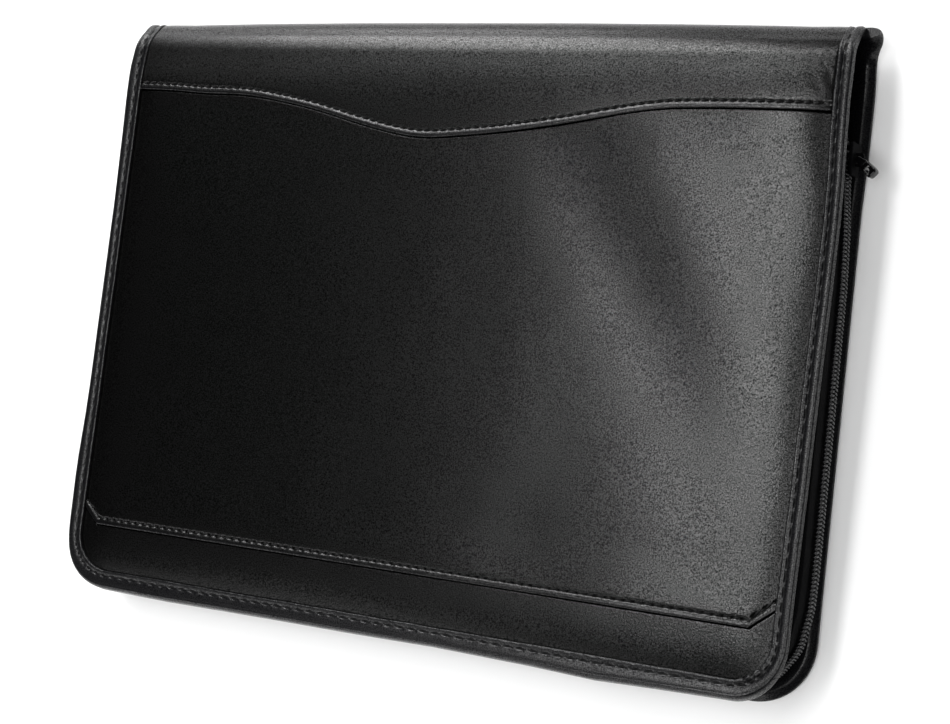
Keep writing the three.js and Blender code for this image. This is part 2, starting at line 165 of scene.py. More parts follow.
def add_lamp(name, middle, faces, width, length, watts):
    """A soft box: a rectangle that shines evenly towards the point it faces."""
    data = bpy.data.lights.new(name, "AREA")
    data.shape = "RECTANGLE"
    data.size, data.size_y = width * MM, length * MM
    data.energy = watts
    lamp = add_object(name, data)
    lamp.location = Vector(middle) * MM
    lamp.rotation_euler = (Vector(middle) - Vector(faces)).to_track_quat("Z", "Y").to_euler()


for row in LAMPS:
    add_lamp(*row)

world = bpy.data.worlds.new("studio")
bpy.context.scene.world = world
world.use_nodes = True
background = world.node_tree.nodes["Background"]
fill(world.node_tree, background, {"Color": linear("#f2f4f7"), "Strength": 0.018})
bpy.context.scene.view_settings.view_transform = "Standard"
print("lamps:", [row[0] for row in LAMPS])

# %% [markdown]
# ## Leather
# The covers are corrected-grain cowhide: split, dyed through, pressed with a fine even grain and sealed with
# a thin clear finish. The eye sees a near-black body, a satin reflection broken up by the grain, and a
# slightly better polish where hands and folds rub it. Grain could be modelled, but a bump is enough at this
# size: rounded cells for the pebbles and noise for the pores between them. The real grain is finer than the
# picture can show, so it is drawn coarser, at about half a millimetre, and the same noise varies the shine
# of the finish. The tops of the pebbles are a little smoother than the valleys. Each leather piece carries a
# value called rub at its points, 1 on a fold's crest, which colour and polish read.

# %% Cover leather and binding leather
LEATHER_IOR = 1.4
FINISH_IOR, FINISH_ROUGHNESS = 1.45, 0.28  # thin clear finish sprayed over the dye
PORE_SHARE = 0.55  # height of the pores against that of the pebbles
PEBBLE_POLISH = 0.06  # how much smoother the pebbles' tops are
PATCH_MM = 14.0  # width of the patches that took the finish unevenly
NOISE_SPAN = {"From Min": 0.3, "From Max": 0.7}  # most of a noise's values lie between these
UNEVEN_GLOSS = {"To Min": 0.018, "To Max": 0.042}
BROKEN_SHINE = {"To Min": 0.02, "To Max": 0.43}


def leather(name, colour, worn_colour, grain_mm, grain_height_mm, roughness, polish):
    """Dyed and sealed leather with a pressed grain, a little lighter and smoother where it is rubbed."""
    material, tree, shader, sized = new_material(name)
    rub = node(tree, "Attribute", "Fac", {}, attribute_name="rub")
    cells = node(tree, "TexVoronoi", "Distance", {**sized(grain_mm), "Smoothness": 0.6}, feature="SMOOTH_F1")
    pores = node(tree, "TexNoise", "Fac", {**sized(grain_mm), "Detail": 1.0})
    patches = node(tree, "TexNoise", "Fac", {**sized(PATCH_MM), "Detail": 3.0})
    pebbles = node(tree, "MapRange", "Result",
                   {"Value": cells, "From Min": 0.0, "From Max": 0.8, "To Min": 1.0, "To Max": 0.0})
    grain = node(tree, "Math", "Value", {0: pores, 1: PORE_SHARE, 2: pebbles}, operation="MULTIPLY_ADD")
    bump = node(tree, "Bump", "Normal", {"Height": grain, "Distance": grain_height_mm * MM})
    tint = node(tree, "Mix", "Result", {"Factor": rub, "A": linear(colour), "B": linear(worn_colour)},
                data_type="RGBA")
    worn = node(tree, "Math", "Value", {0: rub, 1: -polish, 2: roughness}, operation="MULTIPLY_ADD")
    uneven = node(tree, "MapRange", "Result", {"Value": patches, **NOISE_SPAN, **UNEVEN_GLOSS})
    dull_valleys = node(tree, "Math", "Value", {0: pebbles, 1: -PEBBLE_POLISH, 2: uneven},
                        operation="MULTIPLY_ADD")
    gloss = node(tree, "Math", "Value", {0: worn, 1: dull_valleys}, operation="ADD")
    shine = node(tree, "MapRange", "Result", {"Value": pores, **NOISE_SPAN, **BROKEN_SHINE})
    fill(tree, shader, {
        "Base Color": tint, "Roughness": gloss, "IOR": LEATHER_IOR, "Specular IOR Level": shine,
        "Normal": bump, "Coat Weight": shine, "Coat Normal": bump,
        "Coat IOR": FINISH_IOR, "Coat Roughness": FINISH_ROUGHNESS})
    return material


cover_leather = leather("corrected_grain_leather", "#030303", "#09090a",
                        grain_mm=0.55, grain_height_mm=0.03, roughness=0.21, polish=0.02)
binding_leather = leather("skived_binding_leather", "#08080a", "#121213",
                          grain_mm=0.55, grain_height_mm=0.02, roughness=0.33, polish=0.1)
print("leathers:", cover_leather.name, binding_leather.name)

# %% [markdown]
# ## Thread, tape, coil and enamel
# The seams are sewn with bonded polyester thread, black and slightly shiny, twisted from three strands. The
# zip's tape is woven polyester, matt, with ribs under half a millimetre apart, which are drawn twice as wide
# so that they show. Its coil is extruded nylon wire with a satin skin. The slider and its pull are cast zinc
# under black enamel: the pull still gives small hard highlights, but the slider's enamel is given almost no
# shine and a wide lobe, which paints the shade it lies in, set back beside the binding. All of these could be
# plain colours, but a little bump keeps them from looking like moulded plastic close up.

# %% Small materials
# Sizes of the patterns; the wave texture draws about three bands in its size
TWIST = 0.9  # one turn of the thread's three strands
THREE_RIBS, FUZZ, FUZZ_SHARE = 2.4, 0.4, 0.5  # the last is the fuzz's height against that of the ribs
DRAW_MARKS = 0.5  # on the nylon wire
PEEL = 1.2  # dimples of the enamel


def thread_material():
    """Bonded polyester thread: a black satin cord with a fine twist."""
    material, tree, shader, sized = new_material("bonded_polyester_thread")
    twist = node(tree, "TexWave", "Fac", {**sized(TWIST), "Distortion": 1.5}, bands_direction="DIAGONAL")
    bump = node(tree, "Bump", "Normal", {"Height": twist, "Distance": 0.06 * MM})
    fill(tree, shader, {"Base Color": linear("#070708"), "Roughness": 0.6, "Specular IOR Level": 0.2,
                        "Normal": bump})
    return material


def tape_material():
    """Woven polyester tape: matt black ribs."""
    material, tree, shader, sized = new_material("woven_polyester_tape")
    ribs = node(tree, "TexWave", "Fac", {**sized(THREE_RIBS), "Distortion": 0.6}, bands_direction="DIAGONAL")
    fuzz = node(tree, "TexNoise", "Fac", sized(FUZZ))
    weave = node(tree, "Math", "Value", {0: fuzz, 1: FUZZ_SHARE, 2: ribs}, operation="MULTIPLY_ADD")
    bump = node(tree, "Bump", "Normal", {"Height": weave, "Distance": 0.1 * MM})
    fill(tree, shader, {"Base Color": linear("#040405"), "Roughness": 0.85, "Specular IOR Level": 0.08,
                        "Normal": bump})
    return material


def coil_material():
    """Extruded nylon wire: black with a satin skin, unevenly drawn."""
    material, tree, shader, sized = new_material("extruded_nylon")
    drawn = node(tree, "TexNoise", "Fac", sized(DRAW_MARKS))
    gloss = node(tree, "MapRange", "Result", {"Value": drawn, "To Min": 0.26, "To Max": 0.42})
    fill(tree, shader, {"Base Color": linear("#0c0c0e"), "Roughness": gloss, "IOR": 1.53})
    return material


def enamel_material(name, roughness, shine):
    """Black enamel on cast zinc, with the faint orange peel of a dipped coat."""
    material, tree, shader, sized = new_material(name)
    peel = node(tree, "TexNoise", "Fac", {**sized(PEEL), "Detail": 1.0})
    bump = node(tree, "Bump", "Normal", {"Height": peel, "Distance": 0.03 * MM})
    fill(tree, shader, {"Base Color": linear("#060607"), "Roughness": roughness, "Specular IOR Level": shine,
                        "Normal": bump})
    return material


thread, tape_cloth, nylon = thread_material(), tape_material(), coil_material()
gloss_enamel = enamel_material("gloss_black_enamel_on_zinc", roughness=0.12, shine=0.18)
# The slider's enamel has almost no shine and a wide lobe: painted shade, for the shadow it lies in beside the
# binding.
painted_shade_enamel = enamel_material("painted_shade_black_enamel_on_zinc", roughness=0.6, shine=0.02)
print("small materials:", [m.name for m in (thread, tape_cloth, nylon, gloss_enamel, painted_shade_enamel)])

# %% [markdown]
# ## The folder's own surface
# Every leather piece lies on one folded surface: flat in front, round the spine, flat behind. A flat sheet
# could be bent by a modifier, but with a formula all pieces meet exactly. A point of the surface is named by
# x along the spine, y along the leather, a height off its middle layer, and a side. The outline also flares
# a little towards the zip edge, because the covers are fuller there. The distance in from the outline tells
# where the binding squeezes the padding.

# %% Sizes
WIDTH, DEPTH, THICKNESS = 355.0, 265.0, 30.0
CORNER_RADIUS = 25.0
FLARE = 1.45  # at each end of the zip edge
BACK_OVERHANG = 1.3  # the back cover is a little longer than the front one
PINCHED, EASED, PADDED, TURNED, LINING = 0.7, 1.2, 2.3, 3.0, -1.2  # heights of the leather's faces
LAPPED = 2.7  # top of a folded edge
EDGE_INSET = 4.2  # from the outline in to a panel's cut edge
BINDING_WIDTH, BINDING_HALF = 7.9, 2.6
GAP = 0.3
MIDDLE_Z = THICKNESS / 2
SPINE_RADIUS = MIDDLE_Z - TURNED
SPINE_Y = DEPTH / 2 - SPINE_RADIUS - BINDING_HALF  # where the round of the spine begins
CREST_Y = SPINE_Y + np.pi / 2 * SPINE_RADIUS  # y along the leather at the middle of the round
print("spine radius and start, mm:", SPINE_RADIUS, SPINE_Y)

# %% Smooth shapes
LATTICE = 256  # cells of the random hills before they repeat


def rise(value, start, end):
    """0 before start, 1 after end, and a smooth rise between."""
    t = np.clip((value - start) / (end - start), 0, 1)
    return t * t * (3 - 2 * t)


def hill(value, half_width):
    """A smooth hill of height 1 about zero."""
    return np.exp(-(value / half_width) ** 2)


def soft_noise(x, y, size, seed):
    """Smooth random hills about size wide, from -1 to 1, the same on every run."""
    lattice = np.random.default_rng(seed).uniform(-1, 1, (LATTICE, LATTICE))
    u, v = np.broadcast_arrays(x / size, y / size)
    i, j = np.floor(u).astype(int), np.floor(v).astype(int)
    f, g = rise(u - i, 0, 1), rise(v - j, 0, 1)
    at = lambda right, up: lattice[(i + right) % LATTICE, (j + up) % LATTICE]
    low = at(0, 0) * (1 - f) + at(1, 0) * f
    high = at(0, 1) * (1 - f) + at(1, 1) * f
    return low * (1 - g) + high * g


def unevenness(x, y, layers):
    """Soft noise in layers: height, size and seed of each."""
    return sum(height * soft_noise(x, y, size, seed) for height, size, seed in layers)


print("a rise after one, two and three quarters:", rise(np.array([0.25, 0.5, 0.75]), 0, 1))

# %% Folded surface
SHOULDER = {"past": 9.0, "half": 15.0, "drop": 2.2, "fade": 9.0}  # the covers fall before the round begins
# The front cover's right-hand edge is bowed by use: y, and how far it stands out there
BOWED_EDGE = np.array([
    (-107, -1.2), (-95, -1.1), (-84, -0.85), (-50, 0.0), (-15, 0.6), (8, 1.1), (23, 1.5), (54, 2.0),
    (70, 1.85), (85, 1.3), (101, 0.95), (112, 0.9), (126, 0.5)])
BOW_SPREAD = (120, 150)  # x from which the bow is felt, and where it is full


def flared(x, y, z):
    """A point set out to the flared sides."""
    return np.stack(np.broadcast_arrays(x * (1 - FLARE / (WIDTH / 2) * y / (DEPTH / 2)), y, z), axis=-1)


def on_folder(x, y, height, side):
    """A point of the folded surface: y past SPINE_Y goes round the spine, side is 1 in front, -1 behind."""
    turn = np.maximum(0, y - SPINE_Y) / SPINE_RADIUS
    radius = SPINE_RADIUS + height
    stretch = 1 if side > 0 else 1 + BACK_OVERHANG / (SPINE_Y + DEPTH / 2)
    across = SPINE_Y + np.minimum(0, y - SPINE_Y) * stretch + radius * np.sin(turn)
    return flared(x, across, MIDDLE_Z + side * radius * np.cos(turn))


def inset_from_outline(x, y):
    """Distance in from the covers' outline, with the bowed edge on the right."""
    dx = np.abs(x) - (WIDTH / 2 - CORNER_RADIUS)
    dy = -y - (DEPTH / 2 - CORNER_RADIUS)
    corner = np.hypot(np.maximum(dx, 0), np.maximum(dy, 0))
    inset = CORNER_RADIUS - np.where((dx > 0) & (dy > 0), corner, np.maximum(dx, dy))
    return inset + np.interp(y, *BOWED_EDGE.T) * rise(x, *BOW_SPREAD)


def shoulder(y):
    """How far the leather falls below the even half circle, so that cover and spine meet in a soft curve."""
    fall = hill(y - SPINE_Y - SHOULDER["past"], SHOULDER["half"])
    return -SHOULDER["drop"] * fall * rise(CREST_Y - y, 0, SHOULDER["fade"])


print("fall where the round begins, mm:", round(float(shoulder(SPINE_Y)), 2))

# %% [markdown]
# ## Seam lines
# Three lapped seams cross the covers. The yoke edge comes in level from both sides and waves down near the
# middle; the lower seam runs straight and turns up at both ends; the back seam is a plain line. Each is a
# formula for y by x, which the panels on both sides of the seam and its stitches share. In a lapped seam the
# upper leather is folded under, so its edge is a round roll with a row of stitches beside it. Each stitch
# pulls the leather down into a pit, and below the fold the under leather is drawn down to a dark crevice.

# %% Edge formulas
YOKE = {"end": 34.6, "lean": 1.4, "dip": 15.8, "half_wave": 117.0, "middle": -9.0}
# Cut and folded by hand, the wave strays from its pattern: place, half width and height of each stray
YOKE_STRAYS = [(66.0, 38.0, -2.3), (-14.0, 17.0, -1.1), (-66.0, 22.0, 1.0), (-127.0, 18.0, -1.0)]
LOWER = {"height": 28.6, "left_x": 161.0, "right_x": 158.5, "slope": 0.8}
CHEVRONS = (-LOWER["left_x"], LOWER["right_x"])  # where the lower seam turns up
BACK_SEAM = 35.0


def yoke_edge(x):
    wave = np.cos(np.pi / 2 * np.minimum(1, np.abs(x - YOKE["middle"]) / YOKE["half_wave"]))
    strays = sum(height * hill(x - place, half) for place, half, height in YOKE_STRAYS)
    return DEPTH / 2 - YOKE["end"] - YOKE["lean"] * x / (WIDTH / 2) - YOKE["dip"] * wave ** 2 + strays


def past_chevron(x):
    """How far x lies outside the nearer turned-up end of the lower seam."""
    return np.abs(x) - np.where(x > 0, LOWER["right_x"], LOWER["left_x"])


def lower_edge(x):
    return LOWER["height"] - DEPTH / 2 + LOWER["slope"] * np.maximum(0, past_chevron(x))


def past_lower_edge(x, y):
    """Distance from the lower seam's fold, square to it on the straight and on the turned-up ends."""
    level = y - (LOWER["height"] - DEPTH / 2)
    sloping = (level - LOWER["slope"] * past_chevron(x)) / np.hypot(1, LOWER["slope"])
    return np.minimum(level, sloping)


def back_edge(x):
    return DEPTH / 2 - BACK_SEAM + 0 * x


def raw_edge(x):
    """Cut edge along the zip, with both rounded corners."""
    radius = CORNER_RADIUS - EDGE_INSET
    dx = np.maximum(0, np.abs(x) - (WIDTH / 2 - CORNER_RADIUS))
    return CORNER_RADIUS - DEPTH / 2 - np.sqrt(np.maximum(0, radius ** 2 - dx ** 2))


print("yoke edge at the sides and the middle, mm:", yoke_edge(np.array([-177.0, -9.0, 177.0])).round(1))

# %% Relief of a lapped seam
STITCH_LINE = 3.0  # from the fold to the stitches
YOKE_PITCH, LOWER_PITCH = 4.0, 4.15
LAP = {"lip": 0.5, "lip_middle": 0.9, "lip_half": 1.5, "groove_half": 0.5, "bridge": 0.25, "pit": 0.95}
LAP_CLEAR = (6, 9)  # insets between which the relief comes out from under the binding
PIT_POWER = 1.3  # above 1, the pits are narrower than the bridges between them
CREVICE = {"depth": 1.0, "wide": 0.75, "fold": 0.15}


def needle_pits(along, pitch):
    """Depth of the leather under a row of stitches: 1 in the pits, 0 between them."""
    return (0.5 - 0.5 * np.cos(2 * np.pi * along / pitch)) ** PIT_POWER


def stitched_lap(past, along, pitch):
    """Relief of a folded edge: a rounded lip, and a row of pits where the stitches pull the leather down."""
    depth = LAP["bridge"] + LAP["pit"] * needle_pits(along, pitch)
    groove = hill(past - STITCH_LINE, LAP["groove_half"]) * depth
    return LAP["lip"] * hill(past - LAP["lip_middle"], LAP["lip_half"]) - groove


def crevice(past):
    """Drop of the leather just below a folded edge."""
    return -CREVICE["depth"] * rise(past, -CREVICE["wide"], -CREVICE["fold"])


print("height in a pit, mm:", round(float(stitched_lap(STITCH_LINE, YOKE_PITCH / 2, YOKE_PITCH)), 2))

# %% [markdown]
# ## Panels as closed leather sheets
# A panel is a grid of points: columns across the folder, rows along the leather. A plane could be subdivided
# and sculpted, but computed heights follow the seams exactly. The outer face needs a fine grid for the rolls
# and puckers, but nobody sees the lining side, so that face keeps only every fourth row and column. A strip
# of faces round the border joins the two into one closed mesh.

# %% Pieces
def new_piece(name, points, faces, material, sharp_degrees=50):
    """A smooth-shaded mesh object from points in millimetres."""
    mesh = bpy.data.meshes.new(name)
    mesh.from_pydata((np.asarray(points).reshape(-1, 3) * MM).tolist(), [], faces)
    mesh.shade_smooth()
    mesh.set_sharp_from_angle(angle=np.radians(sharp_degrees))
    mesh.materials.append(material)
    return add_object(name, mesh)


def set_rub(piece, values):
    """Writes how rubbed the leather is at each point; points past the given ones stay unrubbed."""
    rub = np.zeros(len(piece.data.vertices), np.float32)
    values = np.clip(np.ravel(values), 0, 1)
    rub[:len(values)] = values
    piece.data.attributes.new("rub", "FLOAT", "POINT").data.foreach_set("value", rub)


def dress(piece, node_name, body="folder"):
    """The piece stands for its measured solid: it goes on the same body, and the solid is hidden."""
    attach(piece, body)
    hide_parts(node_name)
    print(piece.name, "faces:", len(piece.data.polygons))


# %% Closed sheets
LINING_STEP = 4


def closed_sheet(outer, inner):
    """Points and faces of a closed sheet: a fine outer grid, and a lining grid of every fourth point."""
    rows, columns = outer.shape[:2]
    kept_rows = [*range(0, rows - 1, LINING_STEP), rows - 1]
    kept_columns = [*range(0, columns - 1, LINING_STEP), columns - 1]
    lining = inner[np.ix_(kept_rows, kept_columns)]
    deep, wide = lining.shape[:2]
    fine = lambda r, c: r * columns + c
    coarse = lambda r, c: rows * columns + r * wide + c
    faces = [(fine(r, c), fine(r, c + 1), fine(r + 1, c + 1), fine(r + 1, c))
             for r in range(rows - 1) for c in range(columns - 1)]
    faces += [(coarse(r, c), coarse(r + 1, c), coarse(r + 1, c + 1), coarse(r, c + 1))
              for r in range(deep - 1) for c in range(wide - 1)]
    for k, (a, b) in enumerate(zip(kept_columns, kept_columns[1:])):
        first, last = ([fine(r, c) for c in range(a, b + 1)] for r in (0, rows - 1))
        faces.append(first[::-1] + [coarse(0, k), coarse(0, k + 1)])
        faces.append(last + [coarse(deep - 1, k + 1), coarse(deep - 1, k)])
    for k, (a, b) in enumerate(zip(kept_rows, kept_rows[1:])):
        first, last = ([fine(r, c) for r in range(a, b + 1)] for c in (0, columns - 1))
        faces.append(first + [coarse(k + 1, 0), coarse(k, 0)])
        faces.append(last[::-1] + [coarse(k, wide - 1), coarse(k + 1, wide - 1)])
    return np.concatenate([outer.reshape(-1, 3), lining.reshape(-1, 3)]), faces


def leather_panel(name, node_name, outer, inner, rub=0.0):
    """A closed panel of the cover's leather, in the place of its measured solid."""
    piece = new_piece(name, *closed_sheet(outer, inner), cover_leather)
    set_rub(piece, rub)
    dress(piece, node_name)
    return piece


print("lining keeps one point in", LINING_STEP ** 2)

# %% Rows and columns
ROLL_RADIUS = 0.5
# Rows from a folded edge: round its roll first, then close together over the groove
roll_turns = np.radians([-90, -55, -20, 15, 45, 70, 90])
ROLL_OFFSETS = ROLL_RADIUS * (1 - np.cos(roll_turns))
ROLL_LIFTS = -ROLL_RADIUS * (1 - np.sin(roll_turns))
LAP_OFFSETS = np.array([1.1, 1.5, 1.9, 2.2, 2.5, 2.75, 3, 3.25, 3.5, 3.8, 4.2, 4.8, 5.6, 6.6, 8, 10, 12, 14])
TUCKED_ROWS = len(ROLL_OFFSETS) + 12  # rows whose lining is folded up under the edge
# Rows of the leather below the fold, and of its tongue, hidden under it
UNDER_OFFSETS = np.array([-9, -7, -5.5, -4.2, -3.2, -2.4, -1.7, -1.2, -0.85, -0.65, -0.48, -0.32, -0.15])
TONGUE_OFFSETS = np.array([0.3, 1.5, 4.0])
TONGUE_HEIGHT = -GAP / 2
COLUMN_STEP = 0.8


def rows_at(edge, *offsets):
    """Rows of y at offsets from an edge."""
    return [edge + o for o in np.concatenate(offsets)]


def rows_between(start, end, shares):
    """Rows of y at shares of the way between two edges."""
    return [start + (end - start) * t for t in shares]


def columns_between(half, *extra):
    """Columns of x from -half to half, under a millimetre apart, with extra ones at given places."""
    even = np.linspace(-half, half, int(2 * half / COLUMN_STEP) + 1)
    return np.unique(np.round(np.concatenate([even, *extra]), 4))


def rolled(height_of, x, y, edge):
    """Heights of a panel whose first rows go round its folded edge, and of its lining."""
    count = len(ROLL_OFFSETS)
    height, lining = height_of(x, y), np.full(y.shape, LINING)
    fold = np.broadcast_to(edge + ROLL_RADIUS, (count, len(edge)))
    height[:count] = height_of(x[:count], fold) + ROLL_LIFTS[:, None]
    lining[:TUCKED_ROWS] = GAP / 2
    return height, lining


print("rows of a folded edge:", len(ROLL_OFFSETS) + len(LAP_OFFSETS))

# %% Padding
PAD_RUN = 7.0  # how softly the padding rises away from the binding
TUCK, CLEAR = (5.6, 7.6), (6.6, 8.2)  # insets between which a panel comes out from under the binding
# Soft hollows and hills of the padding in front: x, y, half width, half length, height
SOFT_SPOTS = [
    (60.0, -85.0, 24.0, 42.0, -0.28), (108.0, -85.0, 24.0, 42.0, 0.32), (154.0, 96.0, 38.0, 21.0, 1.2)]
FOLD_RUB = {"middle": 0.6, "half": 1.0}


def filled(inset):
    """How far the padding has risen, from 0 at the binding to 1 well inside."""
    return 1 - np.exp(-np.maximum(inset - BINDING_WIDTH, 0) / PAD_RUN)


def padding(x, y, full, fall=1.0):
    """Height of a panel's outer face: eased down towards the binding by a share, and pinched under it."""
    inset = inset_from_outline(x, y)
    tucked = PINCHED + (EASED - PINCHED) * rise(inset, *TUCK)
    return tucked + (full - EASED) * (1 - fall * (1 - filled(inset))) * rise(inset, *CLEAR)


def soft_spots(x, y):
    """Height of the soft hollows and hills together."""
    hills = (height * hill(x - sx, wide) * hill(y - sy, long) for sx, sy, wide, long, height in SOFT_SPOTS)
    return sum(hills) * filled(inset_from_outline(x, np.minimum(y, 0)))


def fold_rub(past):
    """How rubbed the leather is beside a folded edge."""
    return hill(past - FOLD_RUB["middle"], FOLD_RUB["half"])


print("padding at the binding and inside, mm:", padding(np.array([171.0, 0.0]), 0.0, PADDED).round(2))

# %% [markdown]
# ## Front panel
# The middle of the front cover is leather over thin foam and board. It is flat at first sight, but the light
# shows soft hollows where the foam gives, and one long diagonal wave at the right, where the cover was bent.
# They could be sculpted by hand; here they are a few smooth hills added to the grid's heights, so that each
# has a size that can be changed. The panel's lower edge is folded and lies on the band below, and its top
# edge goes under the yoke.

# %% Front panel's height
BENT_LINE = {"x": 117.0, "y": 22.0, "along": (0.555, -0.832), "reach_up": 110.0, "reach_down": 52.0}
# Across that line, from left to right: place, half width and height of each fold
BENT_FOLDS = [(-21.0, 19.0, -0.66), (18.0, 19.0, 0.60)]
LAP_EASE = (2, 26)  # from the lower fold, between which the panel comes down to the padding's height
FRONT_UNEVEN, EVEN_BESIDE_SEAM = [(0.05, 24, 1), (0.01, 9, 2)], (4, 12)


def bent_wave(x, y):
    """The diagonal wave of the bent cover: a trough, then a ridge, fading out at both ends."""
    dx, dy = x - BENT_LINE["x"], y - BENT_LINE["y"]
    run_x, run_y = BENT_LINE["along"]
    along, across = dx * run_x + dy * run_y, -dx * run_y + dy * run_x
    folds = sum(height * hill(across - place, half) for place, half, height in BENT_FOLDS)
    return folds * hill(along, np.where(along < 0, BENT_LINE["reach_up"], BENT_LINE["reach_down"]))


def front_height(x, y):
    past_low, inset = past_lower_edge(x, y), inset_from_outline(x, y)
    full = PADDED + (LAPPED - PADDED) * (1 - rise(past_low, *LAP_EASE))
    uneven = unevenness(x, y, FRONT_UNEVEN) * rise(past_low, *EVEN_BESIDE_SEAM)
    relief = (bent_wave(x, y) + uneven) * filled(inset)
    lap = stitched_lap(past_low, x, LOWER_PITCH) * rise(inset, *LAP_CLEAR)
    return padding(x, y, full) + soft_spots(x, y) + relief + lap + crevice(y - yoke_edge(x))


print("trough and ridge of the wave, mm:", bent_wave(np.array([98.0, 133.0]), np.array([9.0, 32.0])).round(2))

# %% Front panel
FRONT_SHARES = np.linspace(0, 1, 82)[1:-1]


def front_panel():
    x = columns_between(WIDTH / 2 - EDGE_INSET, CHEVRONS)
    low, high = lower_edge(x), yoke_edge(x)
    rows = rows_at(low, ROLL_OFFSETS, LAP_OFFSETS)
    rows += rows_between(low + LAP_OFFSETS[-1], high + UNDER_OFFSETS[0], FRONT_SHARES)
    y = np.array(rows + rows_at(high, UNDER_OFFSETS, TONGUE_OFFSETS))
    grid_x = np.broadcast_to(x, y.shape)
    height, lining = rolled(front_height, grid_x, y, low)
    height[-len(TONGUE_OFFSETS):] = TONGUE_HEIGHT
    outer, inner = (on_folder(grid_x, y, h, 1) for h in (height, lining))
    rub = fold_rub(past_lower_edge(grid_x, y))
    return leather_panel("front_cover_panel", "front_panel", outer, inner, rub)


front_panel()

# %% [markdown]
# ## Spine and yoke
# One piece of leather makes the yoke on the front, wraps the spine and ends in a strip on the back. It is the
# same grid again, with rows going on round the half circle, rather than three pieces that would show a joint.
# The spine stands a little proud in its middle. Close to the right-hand binding the leather shows a few short
# creases, fanning out from the corner, where the cover is bent each time it opens.

# %% Spine wrap's height
# x, y of both ends, and depth of each crease
CREASES = [
    ((165.1, 115.0), (169.4, 110.0), 0.14),
    ((167.0, 110.2), (171.4, 105.0), 0.19),
    ((161.2, 110.4), (165.6, 104.8), 0.09),
    ((160.0, 119.5), (164.6, 115.4), 0.07),
]
CREASE_HALF = 0.8
SPINE_FACE = 2.2  # height of the leather on the round of the spine
SPINE_BOW, BOW_POWER = 2.0, 2.5  # how proud its middle stands, and how level that stays along it
WRAP_END_LIFT, WRAP_ENDS = 0.5, (150, 170)  # up a little to the strips' ends, between these x
WRAP_FALL = 0.1  # it has no padding, so it eases down to the binding only a little
WRAP_UNEVEN = [(0.05, 20, 3), (0.01, 8, 4)]
# Distances from the fold in front, and turns of the spine behind, over which it comes down and grows uneven
YOKE_EASE, YOKE_EVEN = (3, SPINE_Y + 10), (4, 10)
STRIP_EASE, STRIP_EVEN = (0, 0.6), (0, 0.5)


def creased(x, y):
    """Depth of the fanned creases."""
    depth = np.zeros(np.shape(x))
    for start, end, crease_depth in CREASES:
        run = np.array(end) - start
        share = np.clip(((x - start[0]) * run[0] + (y - start[1]) * run[1]) / (run @ run), 0, 1)
        distance = np.hypot(x - start[0] - share * run[0], y - start[1] - share * run[1])
        depth += crease_depth * hill(distance, CREASE_HALF)
    return depth


def wrap_height(x, y, side):
    turn = np.clip((y - SPINE_Y) / SPINE_RADIUS, 0, np.pi / 2)
    if side > 0:
        past, front_only = y - yoke_edge(x), soft_spots(x, y) - creased(x, y)
        eased, rough = rise(past, YOKE_EASE[0], YOKE_EASE[1] - yoke_edge(x)), rise(past, *YOKE_EVEN)
    else:
        past, front_only = y - back_edge(x), 0
        eased, rough = rise(turn, *STRIP_EASE), rise(turn, *STRIP_EVEN)
    bow = SPINE_BOW * (1 - np.cos(turn)) * (1 - np.abs(x / (WIDTH / 2)) ** BOW_POWER)
    bow += WRAP_END_LIFT * (1 - np.cos(turn)) * rise(np.abs(x), *WRAP_ENDS)
    full = LAPPED - (LAPPED - SPINE_FACE) * eased + bow + unevenness(x, y, WRAP_UNEVEN) * rough
    across = np.minimum(y, 0)
    lap = stitched_lap(past, x, YOKE_PITCH) * rise(inset_from_outline(x, across), *LAP_CLEAR)
    return padding(x, across, full, WRAP_FALL) + shoulder(y) + lap + front_only


print("height on the crest's middle, mm:", round(float(wrap_height(np.zeros(1), CREST_Y, 1)[0]), 2))

# %% Spine wrap
WRAP_SHARES = np.linspace(0, 1, 12)[1:-1]
SPINE_ROWS = 20  # round each quarter of the spine
SPINE_RUB, SPINE_RUBBED = 0.35, (SPINE_Y + 2, SPINE_Y + 12)


def wrap_half(x, edge, side):
    """Outer points, lining points and rub of the wrap, from its folded edge to the spine's crest."""
    flat = rows_between(edge + LAP_OFFSETS[-1], SPINE_Y, WRAP_SHARES)
    arc = rows_at(0 * x, np.linspace(SPINE_Y, CREST_Y, SPINE_ROWS))
    y = np.array(rows_at(edge, ROLL_OFFSETS, LAP_OFFSETS) + flat + arc)
    grid_x = np.broadcast_to(x, y.shape)
    height, lining = rolled(lambda u, v: wrap_height(u, v, side), grid_x, y, edge)
    rub = fold_rub(y - edge) + SPINE_RUB * rise(y, *SPINE_RUBBED)
    return on_folder(grid_x, y, height, side), on_folder(grid_x, y, lining, side), rub


def spine_wrap():
    x = columns_between(WIDTH / 2 - EDGE_INSET)
    halves = zip(wrap_half(x, yoke_edge(x), 1), wrap_half(x, back_edge(x), -1))
    joined = (np.concatenate([front, back[-2::-1]]) for front, back in halves)
    return leather_panel("spine_and_yoke", "spine_wrap", *joined)


wrap = spine_wrap()

# %% [markdown]
# ## Lower band
# Under the front panel's folded edge a plain band runs along the zip edge, with the two rounded corners. It
# is thinner leather over the same board, and lies lower than the fold, whose round edge gives the dark line
# under the seam. Its grid runs from the rounded cut edge below to the seam above, with columns closer
# together in the corners.

# %% Lower band
CORNER_X = WIDTH / 2 - CORNER_RADIUS
BAND_COLUMNS, BAND_CORNER_COLUMNS = int(2 * CORNER_X / COLUMN_STEP) + 1, 30
BAND_SHARES = np.linspace(0, 1, 22)[:-1]
BAND_UNEVEN = [(0.04, 18, 5)]


def corner_columns(flat_count, corner_count, *extra):
    """Columns of x for a panel with both rounded corners."""
    corner = CORNER_X + (CORNER_RADIUS - EDGE_INSET) * np.sin(np.linspace(0, np.pi / 2, corner_count))
    flat = np.linspace(-CORNER_X, CORNER_X, flat_count)
    return np.unique(np.round(np.concatenate([flat, corner, -corner, *extra]), 4))


